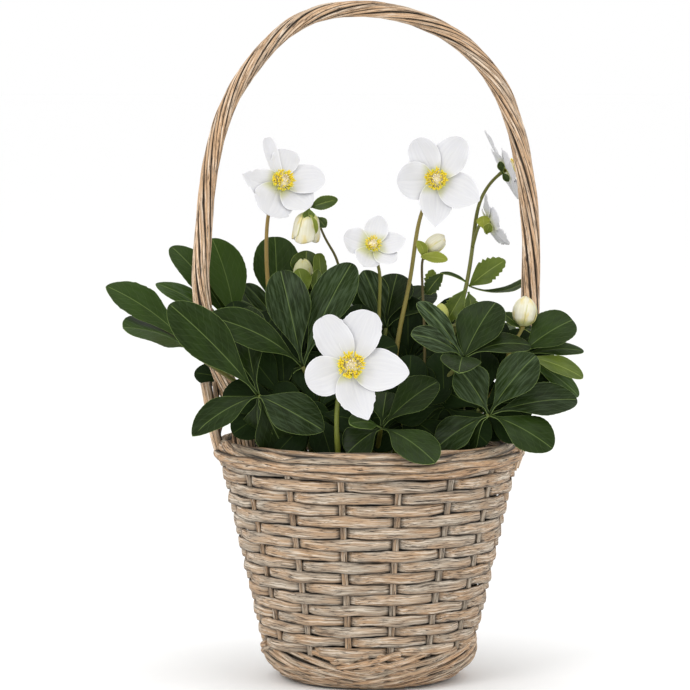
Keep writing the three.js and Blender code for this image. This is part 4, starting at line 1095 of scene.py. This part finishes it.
# brown: how far a stem is flushed brown. thick: its girth beside the common one. bright: its brightness.
# arms: where each starts and what it carries. Bracts are (place, turn, lift, length, width, the way the
# upper side looks, freshness, depth of teeth, how it differs from the common bract).
STEMS = {
    "stem_front": dict(
        carries="bloom_front", root=(-18, -60), brown=0.05, thick=0.95,
        route=[(-22, -80, 172), (-21.5, -87, 205)]),
    "stem_upper_left": dict(
        carries="bloom_upper_left", root=(-34, 4), brown=1.0, thick=0.9,
        route=[(-64, 2, 235), (-71.5, 2, 285), (-71, 5, 327)]),
    "stem_middle": dict(
        carries="bloom_middle", root=(2, -12), brown=0.35, thick=0.75,
        route=[(6, -15, 215), (7, -16, 260), (7.5, -18, 290)]),
    "stem_upper_right": dict(
        carries="bloom_upper_right", root=(10, -26), brown=0.55, thick=0.88,
        route=[(19, -10, 231), (29, 0, 281), (36, 6, 326)]),
    "stem_right": dict(
        carries="bloom_far_right", root=(30, 8), brown=0.25, thick=0.86, bright=0.75,
        route=[(60.5, 4, 246), (69, 9, 277), (73.5, 14, 305), (78, 24, 335)],
        arms=[((73, 13.5, 303), "bloom_half_open"), ((63, 4, 249), "bud_green")],
        bracts=[
            ((70.5, 8.5, 275.5), -12, 36, 32, 17.5, (-92, 25),
             0.35, 0.16, dict(peak=0.56, teeth=4, toothed_from=0.55)),
            ((70.5, 9, 276), -5, 7, 43, 10, (-92, 58), -0.3, 0.03, dict(arch=-0.18, peak=0.72)),
            ((70.5, 9, 277), 184, 22, 22, 4, (-90, 50), -0.1, 0.0, dict(arch=0.12)),
            ((53, 8, 285.5), 190, -50, 20, 12, (-95, 20), -0.1, 0.16, dict(teeth=4, arch=0.15)),
            ((41, 9, 272), 20, 74, 16, 9, (-90, 10), 0.7, 0.25, dict(teeth=3)),
            ((68, 6, 274), 200, -58, 27, 14, (-92, 12), 0.3, 0.16),
            ((70, 5, 272), -60, -70, 20, 11, (-85, 8), 0.2, 0.14),
            ((95, 34, 354.5), 170, 78, 8.5, 5.5, (-100, 10), 0.0, 0.03),
            ((95, 34.5, 355), -20, -55, 8, 5, (-100, 20), 0.0, 0.03),
            ((82, 6.5, 313.5), 150, 80, 12, 10, (-100, 5), 1.0, 0.03, dict(slot=2, peak=0.7)),
            ((82.5, 4.5, 312.5), -60, 62, 9, 7, (-90, 10), 0.1, 0.03, dict(slot=2))]),
    "stem_bud_hanging": dict(
        carries="bud_hanging", root=(-8, 6), brown=0.5, thick=0.56, bright=0.45,
        route=[(-20, 4, 284), (-28.5, 1, 304), (-34.8, -2, 319), (-36.5, -4, 327), (-40, -5, 331.5)],
        bracts=[
            ((-41, -4.5, 332), -2, 16, 20, 10, (-92, 10), 0.1, 0.04, dict(peak=0.5)),
            ((-39, -3, 333), -2, 19, 17, 5, (-92, 50), 0.9, 0.04, dict(slot=2)),
            ((-36.3, -3, 325), -30, -45, 10, 8, (-90, 10), 0.0, 0.05),
            ((-42, -10, 331.5), 250, -84, 8, 9, (-90, 15), 0.3, 0.03, dict(peak=0.6)),
            ((-41, -12.4, 327), -40, -68, 14, 4, (-60, 15), 0.3, 0.02, dict(arch=0.2, slot=2))]),
    "stem_bud_upper_right": dict(
        carries="bud_upper_right", root=(26, -8), brown=0.6, thick=0.62, bright=0.4,
        route=[(38.5, -8, 215), (37.5, 6, 280)],
        bracts=[
            ((39, 3, 294.5), 178, 70, 14.5, 7.5, (-95, 10), 0.45, 0.03, dict(slot=2, bend=0.12)),
            ((36.5, 0.5, 297), -6, -6, 19, 8.5, (-92, 22), 0.5, 0.03, dict(slot=2, foot=0.5))]),
    "stem_bud_right": dict(
        carries="bud_right", root=(46, -32), brown=0.5, thick=0.9, route=[(86, -34, 205), (99.5, -31, 238)],
        bracts=[
            ((105, -29.5, 249), 182, 40, 16, 9, (-80, 25), -0.1, 0.03),
            ((105, -29.5, 249), 30, -12, 12, 8, (-80, 45), -0.1, 0.03)]),
    "stem_bud_left": dict(
        carries="bud_left", root=(-14, 28), brown=0.2, thick=0.8, route=[(-40, 24, 236), (-47, 22, 268)],
        bracts=[
            ((-45, 26, 276), 60, 86, 24, 22, (-90, 0), 0.1, 0.02, dict(peak=0.6, fold=0.4)),
            ((-44, 9, 270), 165, 72, 19, 15, (-95, 5), 0.6, 0.02, dict(fold=0.3)),
            ((-38, 8, 268), 60, 78, 20, 8, (-90, 5), 0.2, 0.02, dict(fold=0.3)),
            ((-32, 12, 262), 130, 82, 37, 10, (-90, 10), 0.3, 0.05, dict(tip=0.32, peak=0.7)),
            ((-32, 9, 256), 30, 66, 28, 21, (-90, 10), 0.2, 0.06, dict(tip=0.4)),
            ((-45, 16, 273), 10, 42, 14, 11, (-90, 10), 0.2, 0.03)]),
}


def meeting(name):
    """The last two points of a stem: behind its bloom or bud, and where it meets it."""
    if name in BUDS:
        base = np.array(BUDS[name]["base"], float)
        return [base - 4 * heading(*BUDS[name]["axis"]), base]
    middle, front, _, _ = bloom_frame(BLOOMS[name]["centre"], BLOOMS[name]["face"])
    return [middle - 8 * front, middle - (DISC_HALF + FIT) * front]


def stem(name, carries, root, brown, thick, route, bright=1.0, arms=(), bracts=()):
    shells = Shells()
    line = rooted(root, *route, *meeting(carries), count=70)
    for _ in range(14):  # eases small kinks out and keeps both ends
        line[2:-1] = (line[1:-2] + 2 * line[2:-1] + line[3:]) / 4
    wander = 1 + 0.05 * ripple(np.linspace(0, 14, len(line)), len(name))
    radius = thick * np.linspace(*STEM, len(line)) * wander
    radius[-3:] *= [1.05, 1.25, 1.5]
    shells.tube(line, radius, (brown, bright, 0), sides=12, slot=1)
    for start, carried in arms:
        path = curve_through([start, *meeting(carried)], 20)
        shells.tube(path, ARM_RADIUS * np.linspace(1.15, 1, 20), (brown, bright, 0), sides=10, slot=1)
    for place, turn, lift, length, width, face, fresh, tooth, *differs in bracts:
        own = dict(BRACT, seed=chance.uniform(0, 6), fresh=fresh, tooth=tooth)
        own.update(*differs)
        blade(shells, np.array(place), place + heading(turn, lift) * length, width, heading(*face), **own)
    finishes = [YOUNG_LEAF, STEM_SKIN, BRACT_SKIN]
    made_piece(name.replace("stem", "flower_stem"), shells, finishes, "stem", name)


# ---------------- the whole plant in its basket
wall_strips()
border_rods()
foot_rods()
woven_bottom()
handle_rods()
grow_pot()
soil_surface()
for leaf_name, plan in LEAVES.items():
    leaf(leaf_name, plan)
for place, numbers in enumerate(BACK_LEAVES, start=1):
    leaf(f"leaf_back_{place}", back_leaf(*numbers))
for make, parts in ((stem, STEMS), (bloom, BLOOMS), (bud, BUDS)):
    for part_name, plan in parts.items():
        make(part_name, **plan)


# ---------------- floor, light and camera
def placed(name, kind_of_data):
    """An object of the scene that isn't a piece of the plant or its basket."""
    thing = bpy.data.objects.new(name, kind_of_data)
    bpy.context.scene.collection.objects.link(thing)
    return thing


def pale_floor():
    """A wide round floor sheet."""
    mesh = bpy.data.meshes.new("floor_sheet")
    rows = [on_ring(circle(64), radius, -0.2) for radius in (10.0, 400.0, 3000.0, 40000.0)]
    ids = np.arange(256).reshape(4, 64)
    wedges = np.stack([ids[:-1], np.roll(ids, -1, 1)[:-1], np.roll(ids, -1, 1)[1:], ids[1:]], axis=-1)
    faces = [*wedges.reshape(-1, 4).tolist(), ids[0].tolist()]
    mesh.from_pydata((np.vstack(rows) * MM).tolist(), [], faces)
    finish = Finish("matt_white_floor", 0.9)
    finish.shader["Base Color"].default_value = srgb("#ffffff")
    mesh.materials.append(finish.material)
    floor = placed("floor_sheet", mesh)


def soft_light(name, place, power, size):
    """A square lamp that looks at the middle of the plant."""
    lamp = bpy.data.lights.new(name, "AREA")
    lamp.energy = power
    lamp.size = size
    holder = placed(name, lamp)
    holder.location = place
    holder.rotation_euler = (Vector((0, 0, 0.24)) - Vector(place)).to_track_quat("-Z", "Y").to_euler()


def white_surround():
    world = bpy.data.worlds.new("white_surround")
    world.use_nodes = True
    world.node_tree.nodes["Background"].inputs["Color"].default_value = srgb("#ffffff")
    world.node_tree.nodes["Background"].inputs["Strength"].default_value = 1.0
    bpy.context.scene.world = world


CAMERA_PLACE = (-0.0168, -2.5, 0.436)
CAMERA_DOWN = 0.0803  # radians below the horizon
CAMERA_FOCUS = 3567  # focal length in pixels of a picture 690 pixels wide
PICTURE_WIDTH = 690
SENSOR_WIDTH = 36


def add_camera():
    lens = bpy.data.cameras.new("camera")
    lens.sensor_width = SENSOR_WIDTH
    lens.lens = SENSOR_WIDTH * CAMERA_FOCUS / PICTURE_WIDTH
    lens.clip_end = 100
    camera = placed("camera", lens)
    camera.location = CAMERA_PLACE
    camera.rotation_euler = (math.pi / 2 - CAMERA_DOWN, 0, 0)
    bpy.context.scene.camera = camera


pale_floor()
white_surround()
# place in metres, power in watts, width in metres
soft_light("key_light", (-1.3, -1.8, 1.6), 15, 0.9)
soft_light("fill_light", (1.7, -1.4, 0.9), 4, 1.2)
soft_light("top_light", (0.2, -0.3, 2.0), 6, 0.9)
add_camera()
bpy.context.scene.view_settings.view_transform = "Standard"
